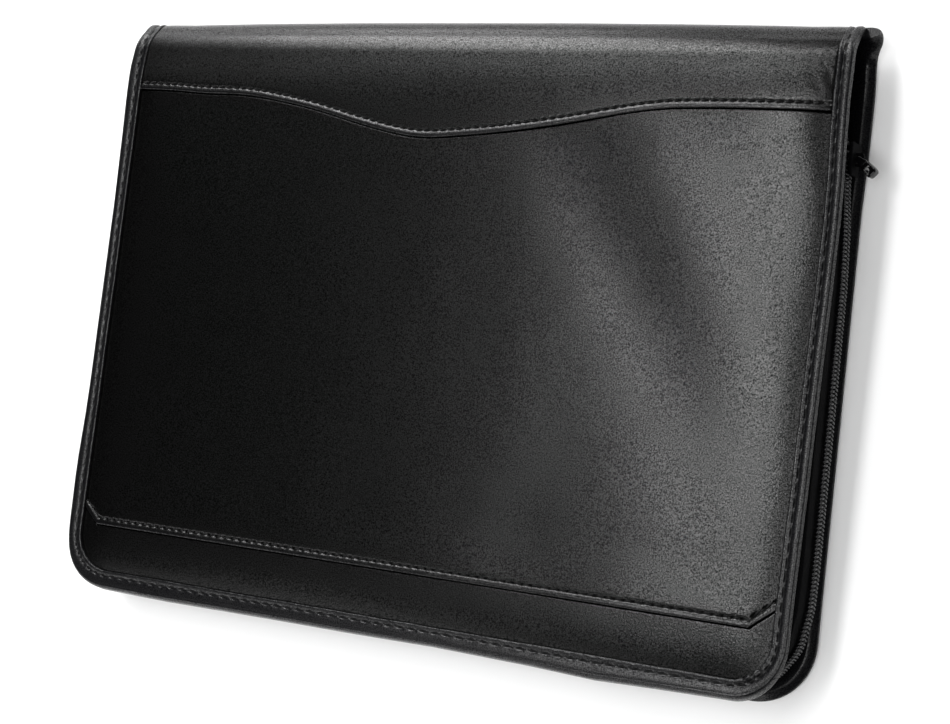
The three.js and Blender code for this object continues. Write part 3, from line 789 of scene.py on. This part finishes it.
def cornered_panel(name, node_name, x, shares, top_edge, height_of, side):
    """A panel from the cut edge along the zip to a tongue under its top seam."""
    low, high = raw_edge(x), top_edge(x)
    rows = rows_between(low, high + UNDER_OFFSETS[0], shares)
    y = np.array(rows + rows_at(high, UNDER_OFFSETS, TONGUE_OFFSETS))
    grid_x = np.broadcast_to(x, y.shape)
    height = height_of(grid_x, y)
    height[-len(TONGUE_OFFSETS):] = TONGUE_HEIGHT
    outer, inner = (on_folder(grid_x, y, h, side)[::side] for h in (height, np.full(y.shape, LINING)))
    return leather_panel(name, node_name, outer, inner)


def band_height(x, y):
    uneven = unevenness(x, y, BAND_UNEVEN) * filled(inset_from_outline(x, y))
    return padding(x, y, PADDED) + uneven + crevice(past_lower_edge(x, y))


band_x = corner_columns(BAND_COLUMNS, BAND_CORNER_COLUMNS, CHEVRONS)
band = cornered_panel("lower_cover_band", "lower_band", band_x, BAND_SHARES, lower_edge, band_height, 1)

# %% [markdown]
# ## Back panel
# The back cover is plain: one padded panel that goes under the spine's back strip and lies flat on the
# surface. It is made as the band was. The same function turns its rows round, from the seam to the zip edge,
# so that its faces point down.

# %% Back panel
BACK_COLUMNS, BACK_CORNER_COLUMNS = 120, 24
RIM_SHARE = 0.1  # the part next to the binding, with closer rows
BACK_SHARES = np.concatenate([np.linspace(0, RIM_SHARE, 20), np.linspace(RIM_SHARE, 1, 60)[1:-1]])
BACK_UNEVEN = [(0.05, 30, 6)]
STRIP_SINK, SINK_HALF = 1.4, 2.0  # drawn in under the back strip's fold


def back_height(x, y):
    below = np.maximum(back_edge(x) - y, 0)
    uneven = np.abs(unevenness(x, y, BACK_UNEVEN)) * filled(inset_from_outline(x, y))
    return padding(x, y, TURNED) - uneven - STRIP_SINK * hill(below, SINK_HALF)


back_x = corner_columns(BACK_COLUMNS, BACK_CORNER_COLUMNS)
back = cornered_panel("back_cover_panel", "back_panel", back_x, BACK_SHARES, back_edge, back_height, -1)

# %% [markdown]
# ## Binding
# A strip of thin leather is folded round the raw edges of each cover and sewn through. In section it has a
# raised lip at its inner edge, a channel where the stitches pull it down, and a rounded crown outside, full
# along the front and thin on the right, where it is drawn in under itself beside the zip. A curve with a
# bevel profile could make it, but it has to change along its way, so the section is swept along the outline
# point by point, with the channel pulled deeper at every stitch. In the right-hand corner the strip is too
# long for its inner edge, so the lip is gathered into a few small pleats.

# %% Stations round the free sides
STATION_STEP, CORNER_STEP = 1.0, 0.5  # closer in the corners, for the pleats


def stations_round(side_y):
    """x, y, outward x and y of points round the three free sides, from the spine's right end to its left."""
    corner_y = CORNER_RADIUS - DEPTH / 2
    angles = np.linspace(0, np.pi / 2, int(np.pi / 2 * CORNER_RADIUS / CORNER_STEP) + 1)
    arc = np.stack([CORNER_X + CORNER_RADIUS * np.cos(angles), corner_y - CORNER_RADIUS * np.sin(angles),
                    np.cos(angles), -np.sin(angles)], axis=1)
    zip_x = np.linspace(CORNER_X, -CORNER_X, int(2 * CORNER_X / STATION_STEP) + 1)[1:-1]
    zip_edge = np.array([(x, -DEPTH / 2, 0, -1) for x in zip_x])
    right = np.concatenate([np.array([(WIDTH / 2, y, 1, 0) for y in side_y]), arc])
    return np.concatenate([right, zip_edge, right[::-1] * (-1, 1, -1, 1)])


def lengths_along(stations):
    """Distance of each station along the outline."""
    steps = np.hypot(*np.diff(stations[:, :2], axis=0).T)
    return np.concatenate([[0], np.cumsum(steps)])


def set_in(stations, inset):
    """x and y of points at insets from the stations."""
    x, y, out_x, out_y = (stations[:, k:k + 1] for k in range(4))
    return x - inset * out_x, y - inset * out_y


binding_stations = stations_round(np.arange(CREST_Y - GAP / 2, CORNER_RADIUS - DEPTH / 2, -STATION_STEP))
bound_x, bound_y, out_x, out_y = (binding_stations[:, k:k + 1] for k in range(4))
bound_along = lengths_along(binding_stations)[:, None]
binding_length = bound_along[-1, 0]
print("binding length, mm:", round(binding_length))

# %% Binding's section
# From the lip's inner foot over the lip, the channel and the crown: inset from the outline, height
BINDING_TOP = [
    (7.90, 1.15), (8.00, 1.60), (8.02, 2.05), (7.92, 2.40), (7.68, 2.58), (7.35, 2.63), (6.95, 2.60),
    (6.55, 2.52), (6.28, 2.44), (6.10, 2.38), (5.92, 2.33), (5.74, 2.29), (5.55, 2.27), (5.36, 2.28),
    (5.20, 2.31), (5.05, 2.35), (4.83, 2.42), (4.48, 2.52), (4.00, 2.61), (3.40, 2.66), (2.90, 2.64),
    (2.52, 2.58)]
# Round the outside: the front strip leans out to its lower edge and is thin on the right, the back leans in
BINDING_EDGE = {
    "front": [
        (2.35, 2.66), (2.12, 2.57), (1.90, 2.44), (1.65, 2.22), (1.38, 1.93), (1.10, 1.54), (0.86, 1.05),
        (0.66, 0.45), (0.48, -0.20), (0.30, -0.90), (0.14, -1.50), (0.02, -1.95), (0.04, -2.25),
        (0.25, -2.50), (0.70, -2.60)],
    "right": [
        (2.26, 2.49), (2.10, 2.38), (1.98, 2.22), (1.90, 2.02), (1.84, 1.80), (1.78, 1.56), (1.72, 1.32),
        (1.66, 1.10), (1.60, 0.90), (1.54, 0.72), (1.49, 0.54), (1.54, 0.28), (1.90, -0.30),
        (2.45, -1.25), (3.15, -2.35)],
    "back": [
        (1.90, 2.42), (1.20, 2.20), (0.60, 1.80), (0.20, 1.25), (0.02, 0.65), (0.04, 0.15), (0.20, -0.30),
        (0.50, -0.62), (0.88, -0.95), (1.32, -1.30), (1.80, -1.66), (2.25, -1.98), (2.70, -2.26),
        (3.15, -2.46), (3.45, -2.52)],
}
# Back along the under face, and round the slot that holds the cover's edge
BINDING_UNDER = [(3.60, -2.50), (7.70, -2.50), (7.90, -2.30)]
BINDING_SLOT = [(7.90, -1.50), (3.60, -1.50), (3.60, 0.75), (5.20, 0.75), (7.10, 1.25)]


def plain_section(side):
    """The section's insets and heights at every station, and which points are on top or in the slot."""
    names = ("front", "right") if side > 0 else ("back", "back")
    usual, thin = (np.array(BINDING_TOP + BINDING_EDGE[name] + BINDING_UNDER + BINDING_SLOT).T[:, None]
                   for name in names)
    inset, height = usual + np.maximum(out_x, 0) ** 2 * (thin - usual)
    order = np.arange(inset.shape[1])
    return inset, height, order < len(BINDING_TOP), order >= len(order) - len(BINDING_SLOT)


print("points of the section:", plain_section(1)[0].shape[1])

# %% Binding's outline and ends
# How far the strips stand out from the even outline, by y on the two short sides and by x along the zip edge
STANDS_OUT = {
    "left": [(-112, 0.8), (-103, 1.2), (-84, 1.5), (-74, 1.4), (-55, 0.6), (-40, 0.3), (45, 0.4), (78, 1.1),
             (97, 1.7), (110, 2.0), (125, 1.4)],
    "right": [(62, 0.0), (82, 0.6), (112, 0.9), (126, 0.6), (136, 0.0)],
    "zip": [(-155, 1.2), (-118, 1.6), (-63, 1.1), (-20, 1.0), (20, 0.5), (66, 1.2), (95, 2.2), (121, 1.3),
            (150, 0.6)],
}
LEFT_CORNER_FULL = 0.9
# Flare of the back strip's ends at the spine, with small folds in it
SPINE_EAR = {"y": 134.0, "reach": 8.0, "right": 4.6, "left": 1.2, "folds": 0.05, "fold_pitch": 3.1}


def stands_out(side):
    """Shift of a strip's outside at every station."""
    left, right, zip_edge = (np.array(STANDS_OUT[name]).T for name in ("left", "right", "zip"))
    shift = np.interp(bound_y, *left) * np.maximum(-out_x, 0) ** 2
    shift += np.interp(bound_x, *zip_edge) * np.maximum(-out_y, 0) ** 2
    shift += np.interp(bound_y, *right) * (out_x == 1) * (side < 0)
    return shift + LEFT_CORNER_FULL * (2 * out_x * out_y) ** 2 * (out_x < 0)


def spine_ears(side, upper):
    """Flare of the back strip's ends, slightly folded on top."""
    end = hill(np.maximum(SPINE_EAR["y"] - bound_y, 0), SPINE_EAR["reach"]) * (side < 0)
    ear = np.where(bound_x > 0, SPINE_EAR["right"], SPINE_EAR["left"]) * end
    return ear * (1 + SPINE_EAR["folds"] * np.sin(2 * np.pi * bound_along / SPINE_EAR["fold_pitch"]) * upper)


print("furthest out, mm:", round(float(stands_out(1).max()), 1))

# %% Binding's relief
BINDING_PITCH = 5.7
CHANNEL = {"inset": 5.55, "half": 0.38, "depth": 0.95, "sharp": 1.5}
ZIP_CHANNEL, ZIP_CHANNEL_HALF = 0.5, 1.6  # the needle strayed in along the zip edge
# Noise and stray: height, size and seed
LIP = {"between": (5.9, 6.6), "puckers": 0.1, "noise": (0.06, 6, 7), "stray": (0.1, 8, 27)}
CROWN = {"inset": 3.4, "half": 1.2, "noise": (0.06, 9, 17)}
PLEATS = {"angle": 54, "spread": 19, "pitch": 5.6, "blunt": 0.8, "height": 0.5, "shift": 0.9, "mean": 0.45}
PLEATED = (2, 88)  # degrees round the corner between which there are pleats
# The strips' ends stand up where they meet on the spine, are pressed flat there, and close over the slot
ENDS = {"lift": 0.5, "from": SPINE_Y + 6, "reach": 1.6, "press": 0.5, "faces": (1, 2), "slot": 7.6}
SHIFT_FADE = (9, 1)  # a strip's outside is shifted, its lip stays in place


def pleats(side):
    """Height of the gathers in the right-hand front corner, about their mean."""
    corner = np.degrees(np.arctan2(-out_y, out_x))
    inside = (corner > PLEATED[0]) & (corner < PLEATED[1]) & (side > 0)
    pleat = np.abs(np.sin(np.pi * bound_along / PLEATS["pitch"])) ** PLEATS["blunt"] - PLEATS["mean"]
    return hill(corner - PLEATS["angle"], PLEATS["spread"]) * inside * pleat


def binding_section(side):
    """Insets and heights of the finished section at every station."""
    inset, height, upper, slot = plain_section(side)
    ripple = lambda high, size, seed: high * soft_noise(bound_along, 0 * bound_along, size, seed + side)
    pit, gathers = needle_pits(bound_along, BINDING_PITCH), pleats(side)
    lip = upper * rise(inset, *LIP["between"])
    crown = upper * hill(inset - CROWN["inset"], CROWN["half"])
    channel = upper * hill(inset - CHANNEL["inset"], CHANNEL["half"])
    height += lip * (LIP["puckers"] * (0.5 - pit) + ripple(*LIP["noise"]) + PLEATS["height"] * gathers)
    height += crown * ripple(*CROWN["noise"]) - channel * CHANNEL["depth"] * pit ** CHANNEL["sharp"]
    inset += lip * (PLEATS["shift"] * gathers + ripple(*LIP["stray"]))
    inset += hill(inset - CHANNEL["inset"], ZIP_CHANNEL_HALF) * ZIP_CHANNEL * out_y ** 2
    inset -= np.interp(bound_y, *BOWED_EDGE.T) * np.maximum(out_x, 0) ** 2 * (side > 0)
    ending = hill(np.maximum(CREST_Y - bound_y, 0), ENDS["reach"])
    inset += slot * ending * (ENDS["slot"] - inset)
    pressed = ENDS["press"] * ending * np.sign(height) * rise(np.abs(height), *ENDS["faces"])
    height += shoulder(bound_y) + ENDS["lift"] * rise(bound_y, ENDS["from"], CREST_Y) - pressed
    return inset - (spine_ears(side, upper) + stands_out(side)) * rise(inset, *SHIFT_FADE), height


print("section's highest point in front, mm:", round(float(binding_section(1)[1].max()), 2))

# %% Binding strips
COVERS = {"front": 1, "back": -1}  # both covers, with the side of each
LIP_RUB, CROWN_RUB, CROWN_SHARE = (7.2, 0.9), (3.2, 0.8), 0.5  # inset and half width of the rubbed lines
RUBBED_ABOVE = 2.0


def swept(strips, turned):
    """Points and faces of closed strips, each through its rings of points; turned ones face the other way."""
    points, faces = [], []
    for rings in strips:
        count, around = rings.shape[:2]
        start = sum(map(len, points))
        at = lambda i, j: start + i * around + j % around
        made = [[at(i, j), at(i + 1, j), at(i + 1, j + 1), at(i, j + 1)]
                for i in range(count - 1) for j in range(around)]
        made += [[at(0, j) for j in range(around)], [at(count - 1, j) for j in reversed(range(around))]]
        faces += [face[::-1] for face in made] if turned else made
        points.append(rings.reshape(-1, 3))
    return np.concatenate(points), faces


def binding(cover, side):
    inset, height = binding_section(side)
    rings = on_folder(*set_in(binding_stations, inset), height, side)
    piece = new_piece(f"{cover}_edge_binding", *swept([rings], side < 0), binding_leather, sharp_degrees=60)
    rub = hill(inset - LIP_RUB[0], LIP_RUB[1]) + CROWN_SHARE * hill(inset - CROWN_RUB[0], CROWN_RUB[1])
    set_rub(piece, rub * (height > RUBBED_ABOVE))
    dress(piece, f"binding_{cover}")


for cover, side in COVERS.items():
    binding(cover, side)

# %% [markdown]
# ## Stitches
# Every stitch is a short piece of thread that comes up through one needle hole and goes down through the
# next. A picture of stitches in a texture would look flat close up, so each is a little tube: a path that
# rises out of the leather and dives back, with rings of points round it. All stitches of one seam are one
# mesh.

# %% Wires and stitches
STITCH = {"radius": 0.4, "gap": 1.0, "rise": 0.16, "dive": 0.7, "points": 9, "sides": 6, "slant": 0.16}
STITCH_BEND = 0.6  # below 1, a stitch is flat on top and dives steeply
AHEAD = 0.1  # step for the direction along a seam


def unit(vectors):
    return vectors / np.linalg.norm(vectors, axis=-1, keepdims=True)


def wires(paths, normals, radius, sides):
    """Points and faces of round wires along many paths, an array of path by point by coordinate."""
    tangent = np.gradient(paths, axis=1)
    across = unit(np.cross(tangent, normals))
    upward = unit(np.cross(across, tangent))
    angle = np.linspace(0, 2 * np.pi, sides, endpoint=False)
    ring = np.cos(angle)[:, None] * across[:, :, None] + np.sin(angle)[:, None] * upward[:, :, None]
    return swept(paths[:, :, None] + radius * ring, False)


def sew(name, line, pitch, length):
    """A row of stitches: line gives the surface's point and normal at distances along the seam."""
    count = int(length / pitch)
    share = np.linspace(0, 1, STITCH["points"])
    along = (np.arange(count)[:, None] + (1 - (1 - share * 2) * (1 - STITCH["gap"] / pitch)) / 2) * pitch
    lift = -STITCH["dive"] + (STITCH["dive"] + STITCH["rise"]) * np.sin(np.pi * share) ** STITCH_BEND
    point, normal = line(along)
    sideways = unit(np.cross(normal, line(along + AHEAD)[0] - point))
    paths = point + normal * lift[:, None] + sideways * (STITCH["slant"] * (share - 0.5) * 2)[:, None]
    tubes = wires(paths, normal, STITCH["radius"], STITCH["sides"])
    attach(new_piece(name, *tubes, thread, sharp_degrees=80), "folder")
    print(name, "stitches:", count)


# %% Stitches of the lapped seams
UP = np.array([0.0, 0.0, 1.0])
SEAM_START = -(WIDTH / 2 - BINDING_WIDTH - 0.8)  # the first hole, just inside the left-hand binding
NUDGE = 0.05


def seam_line(edge, height, side):
    """The stitch line beside a folded edge, by distance from the left-hand binding."""
    def line(along):
        x = SEAM_START + along
        slope = (edge(x + NUDGE) - edge(x - NUDGE)) / (2 * NUDGE)
        y = edge(x) + STITCH_LINE * np.hypot(1, slope)
        return on_folder(x, y, height(x, y), side), np.broadcast_to(UP * side, (*np.shape(x), 3))
    return line


yoke_line = seam_line(yoke_edge, lambda x, y: wrap_height(x, y, 1), 1)
back_line = seam_line(back_edge, lambda x, y: wrap_height(x, y, -1), -1)
sew("yoke_stitches", yoke_line, YOKE_PITCH, -2 * SEAM_START)
sew("lower_seam_stitches", seam_line(lower_edge, front_height, 1), LOWER_PITCH, -2 * SEAM_START)
sew("back_seam_stitches", back_line, YOKE_PITCH, -2 * SEAM_START)

# %% Stitches of the bindings
def binding_line(side):
    """The stitch line in the binding's channel, by distance along the outline."""
    column = [inset for inset, _ in BINDING_TOP].index(CHANNEL["inset"])
    inset, height = (table[:, column:column + 1] for table in binding_section(side))
    place = set_in(binding_stations, inset)
    low, high = (on_folder(*place, height + lift, side)[:, 0] for lift in (0, 1))

    def line(along):
        mix = lambda table: np.stack([np.interp(along, bound_along[:, 0], row) for row in table.T], axis=-1)
        return mix(low), mix(high) - mix(low)
    return line


for cover, side in COVERS.items():
    sew(f"{cover}_binding_stitches", binding_line(side), BINDING_PITCH, binding_length)

# %% [markdown]
# ## Zip
# Each zip tape is a woven strip, folded where it is sewn under its binding. Along its free edge runs a coil
# of nylon wire whose loops hook into those of the other side. The coil really is a flattened spring, so it
# is made as one, not as a textured strip: a wire round a long ellipse, moving on by one pitch each turn, and
# slanting more on the outside than on the inside. Past the slider the two halves part towards the spine.

# %% Chain run
CHAIN_LEVEL, CHAIN_SLIP = 13.4, 0.2
SLIDER_Y = 80.6
LEFT_RUN = -32.0  # the left-hand side is closed all along
# Right-hand chain by its place past the slider's centre: inset of its face, half the distance between halves
CHAIN_RUN = np.array([
    (-200, 4.2, 0), (-188, 1.6, 0), (-176, -0.5, 0), (-165, -0.9, 0), (-110, -0.8, 0), (-50, -0.4, 0),
    (-32, 0.4, 0), (-8, 2.4, 0), (-2, 2.4, 0), (4, 4.4, 1.6), (10, 6.6, 2.8), (18, 8.6, 3.9)])

zip_stations = stations_round(np.arange(SPINE_Y, CORNER_RADIUS - DEPTH / 2, -STATION_STEP))
zip_along = lengths_along(zip_stations)
past_slider = zip_stations[:, 1] - SLIDER_Y
past_slider = np.where(zip_stations[:, 0] > 0, past_slider, np.minimum(past_slider, LEFT_RUN))
chain_inset, chain_half = (np.interp(past_slider, CHAIN_RUN[:, 0], CHAIN_RUN[:, k]) for k in (1, 2))
print("chain length, mm:", round(zip_along[-1]))

# %% Zip tapes
COIL = {"depth": 2.2, "width": 3.3, "wire": 0.5, "pitch": 1.6, "turn_points": 12, "sides": 6, "hook": 0.35,
        "skew": 0.2}
TAPE_WALL, TAPE_FLANGE, TAPE_BEND = 0.8, 5.0, 0.3
RIPPLE, RIPPLE_SIZE, RIPPLE_SEED = 0.12, 6, 40


def zip_tape(cover, side):
    """A tape with a wall behind the coil and a flange turned in under the binding."""
    under = MIDDLE_Z + side * (SPINE_RADIUS - BINDING_HALF - GAP)
    turned = under - side * TAPE_WALL
    edge = (CHAIN_LEVEL + side * (chain_half + CHAIN_SLIP))[:, None]
    level = lambda *heights: np.zeros_like(edge) + heights
    z = np.concatenate([edge, level(under - side * TAPE_BEND, under, under, turned, turned,
                                    turned - side * TAPE_BEND), edge], axis=1)
    section = [0, 0, TAPE_BEND, TAPE_FLANGE, TAPE_FLANGE, TAPE_WALL + TAPE_BEND, TAPE_WALL, TAPE_WALL]
    inset = (chain_inset + COIL["depth"] + GAP)[:, None] + section
    inset += RIPPLE * soft_noise(zip_along[:, None], z, RIPPLE_SIZE, RIPPLE_SEED + side)
    rings = flared(*set_in(zip_stations, inset), z)
    piece = new_piece(f"{cover}_zip_tape", *swept([rings], side > 0), tape_cloth)
    dress(piece, f"zip_tape_{cover}")


for cover, side in COVERS.items():
    zip_tape(cover, side)

# %% Coils
COIL_STARTS = {1: 0.25, -1: 0.75}  # half a pitch apart, so that the two halves hook into each other


def coil(cover, side):
    """One half of the chain: a flattened spring of nylon wire along the tape's edge."""
    turns = int(zip_along[-1] / COIL["pitch"]) - 1
    theta = np.linspace(0, 2 * np.pi * turns, turns * COIL["turn_points"] + 1)
    skew = side * COIL["skew"] * np.sin(theta + np.pi / 2) / 2
    along = COIL["pitch"] * (theta / (2 * np.pi) + COIL_STARTS[side] - skew)
    column = lambda table: np.interp(along, zip_along, table)
    half_width = (COIL["width"] + COIL["hook"]) / 2 - COIL["wire"]
    half_depth = COIL["depth"] / 2 - COIL["wire"]
    middle = COIL["width"] - COIL["wire"] - half_width
    z = CHAIN_LEVEL + side * (column(chain_half) + CHAIN_SLIP + middle + half_width * np.cos(theta))
    inset = column(chain_inset) + COIL["depth"] / 2 + half_depth * np.sin(theta)
    x, y, away_x, away_y = (column(row) for row in zip_stations.T)
    path = flared(x - inset * away_x, y - inset * away_y, z)[None]
    ahead = np.stack([-away_y, away_x, 0 * away_x], axis=-1)[None]
    spring = wires(path, ahead, COIL["wire"], COIL["sides"])
    dress(new_piece(f"{cover}_zip_coil", *spring, nylon, sharp_degrees=80), f"zip_coil_{cover}")


for cover, side in COVERS.items():
    coil(cover, side)

# %% [markdown]
# ## Slider and pull
# The slider is a hard casting. It could be modelled again, but its measured solid already has the right form,
# so that stays and only gets its enamel. The pull is a short block, hollowed on both flat faces, with two
# rails and a pin that turn in the slider's arch. Bevelled boxes could do, but its highlights come from soft
# curves, so it is swept from a few rounded sections.

# %% Slider
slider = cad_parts["slider_body"]
# Its almost shineless enamel is painted shade, for the shadow it lies in beside the binding.
slider.data.materials.clear()
slider.data.materials.append(painted_shade_enamel)

# %% Pull
PULL_HINGE = np.array([177.18, 81.0, CHAIN_LEVEL])
PULL_REST = np.radians(-42)
# Along the pull from its pin: distance, half thickness, half width
PULL_BODY = [
    (2.8, 0.6, 1.5), (2.9, 1.3, 1.9), (3.2, 1.7, 2.2), (4.0, 1.95, 2.35), (4.6, 2.1, 2.4), (5.2, 2.2, 2.45),
    (6.6, 2.25, 2.5), (7.6, 2.25, 2.5), (8.1, 2.2, 2.5), (8.6, 2.0, 2.45), (9.0, 1.6, 2.25), (9.15, 1.0, 1.8)]
PULL_RAIL = [
    (-0.7, 0.4, 0.3), (-0.55, 0.7, 0.5), (0.0, 0.95, 0.55), (1.0, 1.25, 0.55), (2.0, 1.55, 0.55),
    (3.0, 1.85, 0.55), (3.6, 1.7, 0.45)]
RAIL_OFF, PIN_RADIUS = 1.95, 0.55
# Hollow of both flat faces: its depth and rim, where it begins and ends along the pull, and how thick that is
HOLLOW = {"depth": 0.7, "rim": (0.5, 1.1), "begin": (4.0, 4.8), "end": (8.5, 7.8), "thick": (1.6, 1.9)}
BLUNT = 0.38  # power that makes a circle a box with well rounded corners
PULL_SIDES = 44
ring_angle = np.linspace(0, 2 * np.pi, PULL_SIDES, endpoint=False)


def rounded_rings(sections, shift):
    """Rings of a bar along the pull: boxes with well rounded corners, moved sideways along the pin."""
    blunt = lambda value: (np.sign(value) * np.abs(value) ** BLUNT)[:, None]
    along = np.array([np.cos(PULL_REST), np.sin(PULL_REST), 0])
    aside = np.array([-along[1], along[0], 0])
    reach, thick, wide = (np.array(sections)[:, k, None, None] for k in range(3))
    across, upward = thick * blunt(np.cos(ring_angle)), wide * blunt(np.sin(ring_angle))
    hollow = rise(thick - np.abs(across), *HOLLOW["rim"]) * rise(thick, *HOLLOW["thick"])
    hollow = hollow * rise(reach, *HOLLOW["begin"]) * rise(reach, *HOLLOW["end"])
    upward = upward - HOLLOW["depth"] * hollow * np.sign(upward)
    return PULL_HINGE + reach * along + across * aside + (upward + shift) * UP


def pin_rings():
    """Rings of the pin across both rails."""
    circle = PIN_RADIUS * np.stack([np.cos(ring_angle), np.sin(ring_angle), 0 * ring_angle], axis=1)
    return np.array([PULL_HINGE + circle + z * UP for z in (-RAIL_OFF, 0.0, RAIL_OFF)])


rails = [rounded_rings(PULL_RAIL, shift) for shift in (RAIL_OFF, -RAIL_OFF)]
casting = swept([rounded_rings(PULL_BODY, 0), *rails, pin_rings()], True)
pull = new_piece("zip_pull_casting", *casting, gloss_enamel, sharp_degrees=35)
dress(pull, "zip_pull", body="pull")
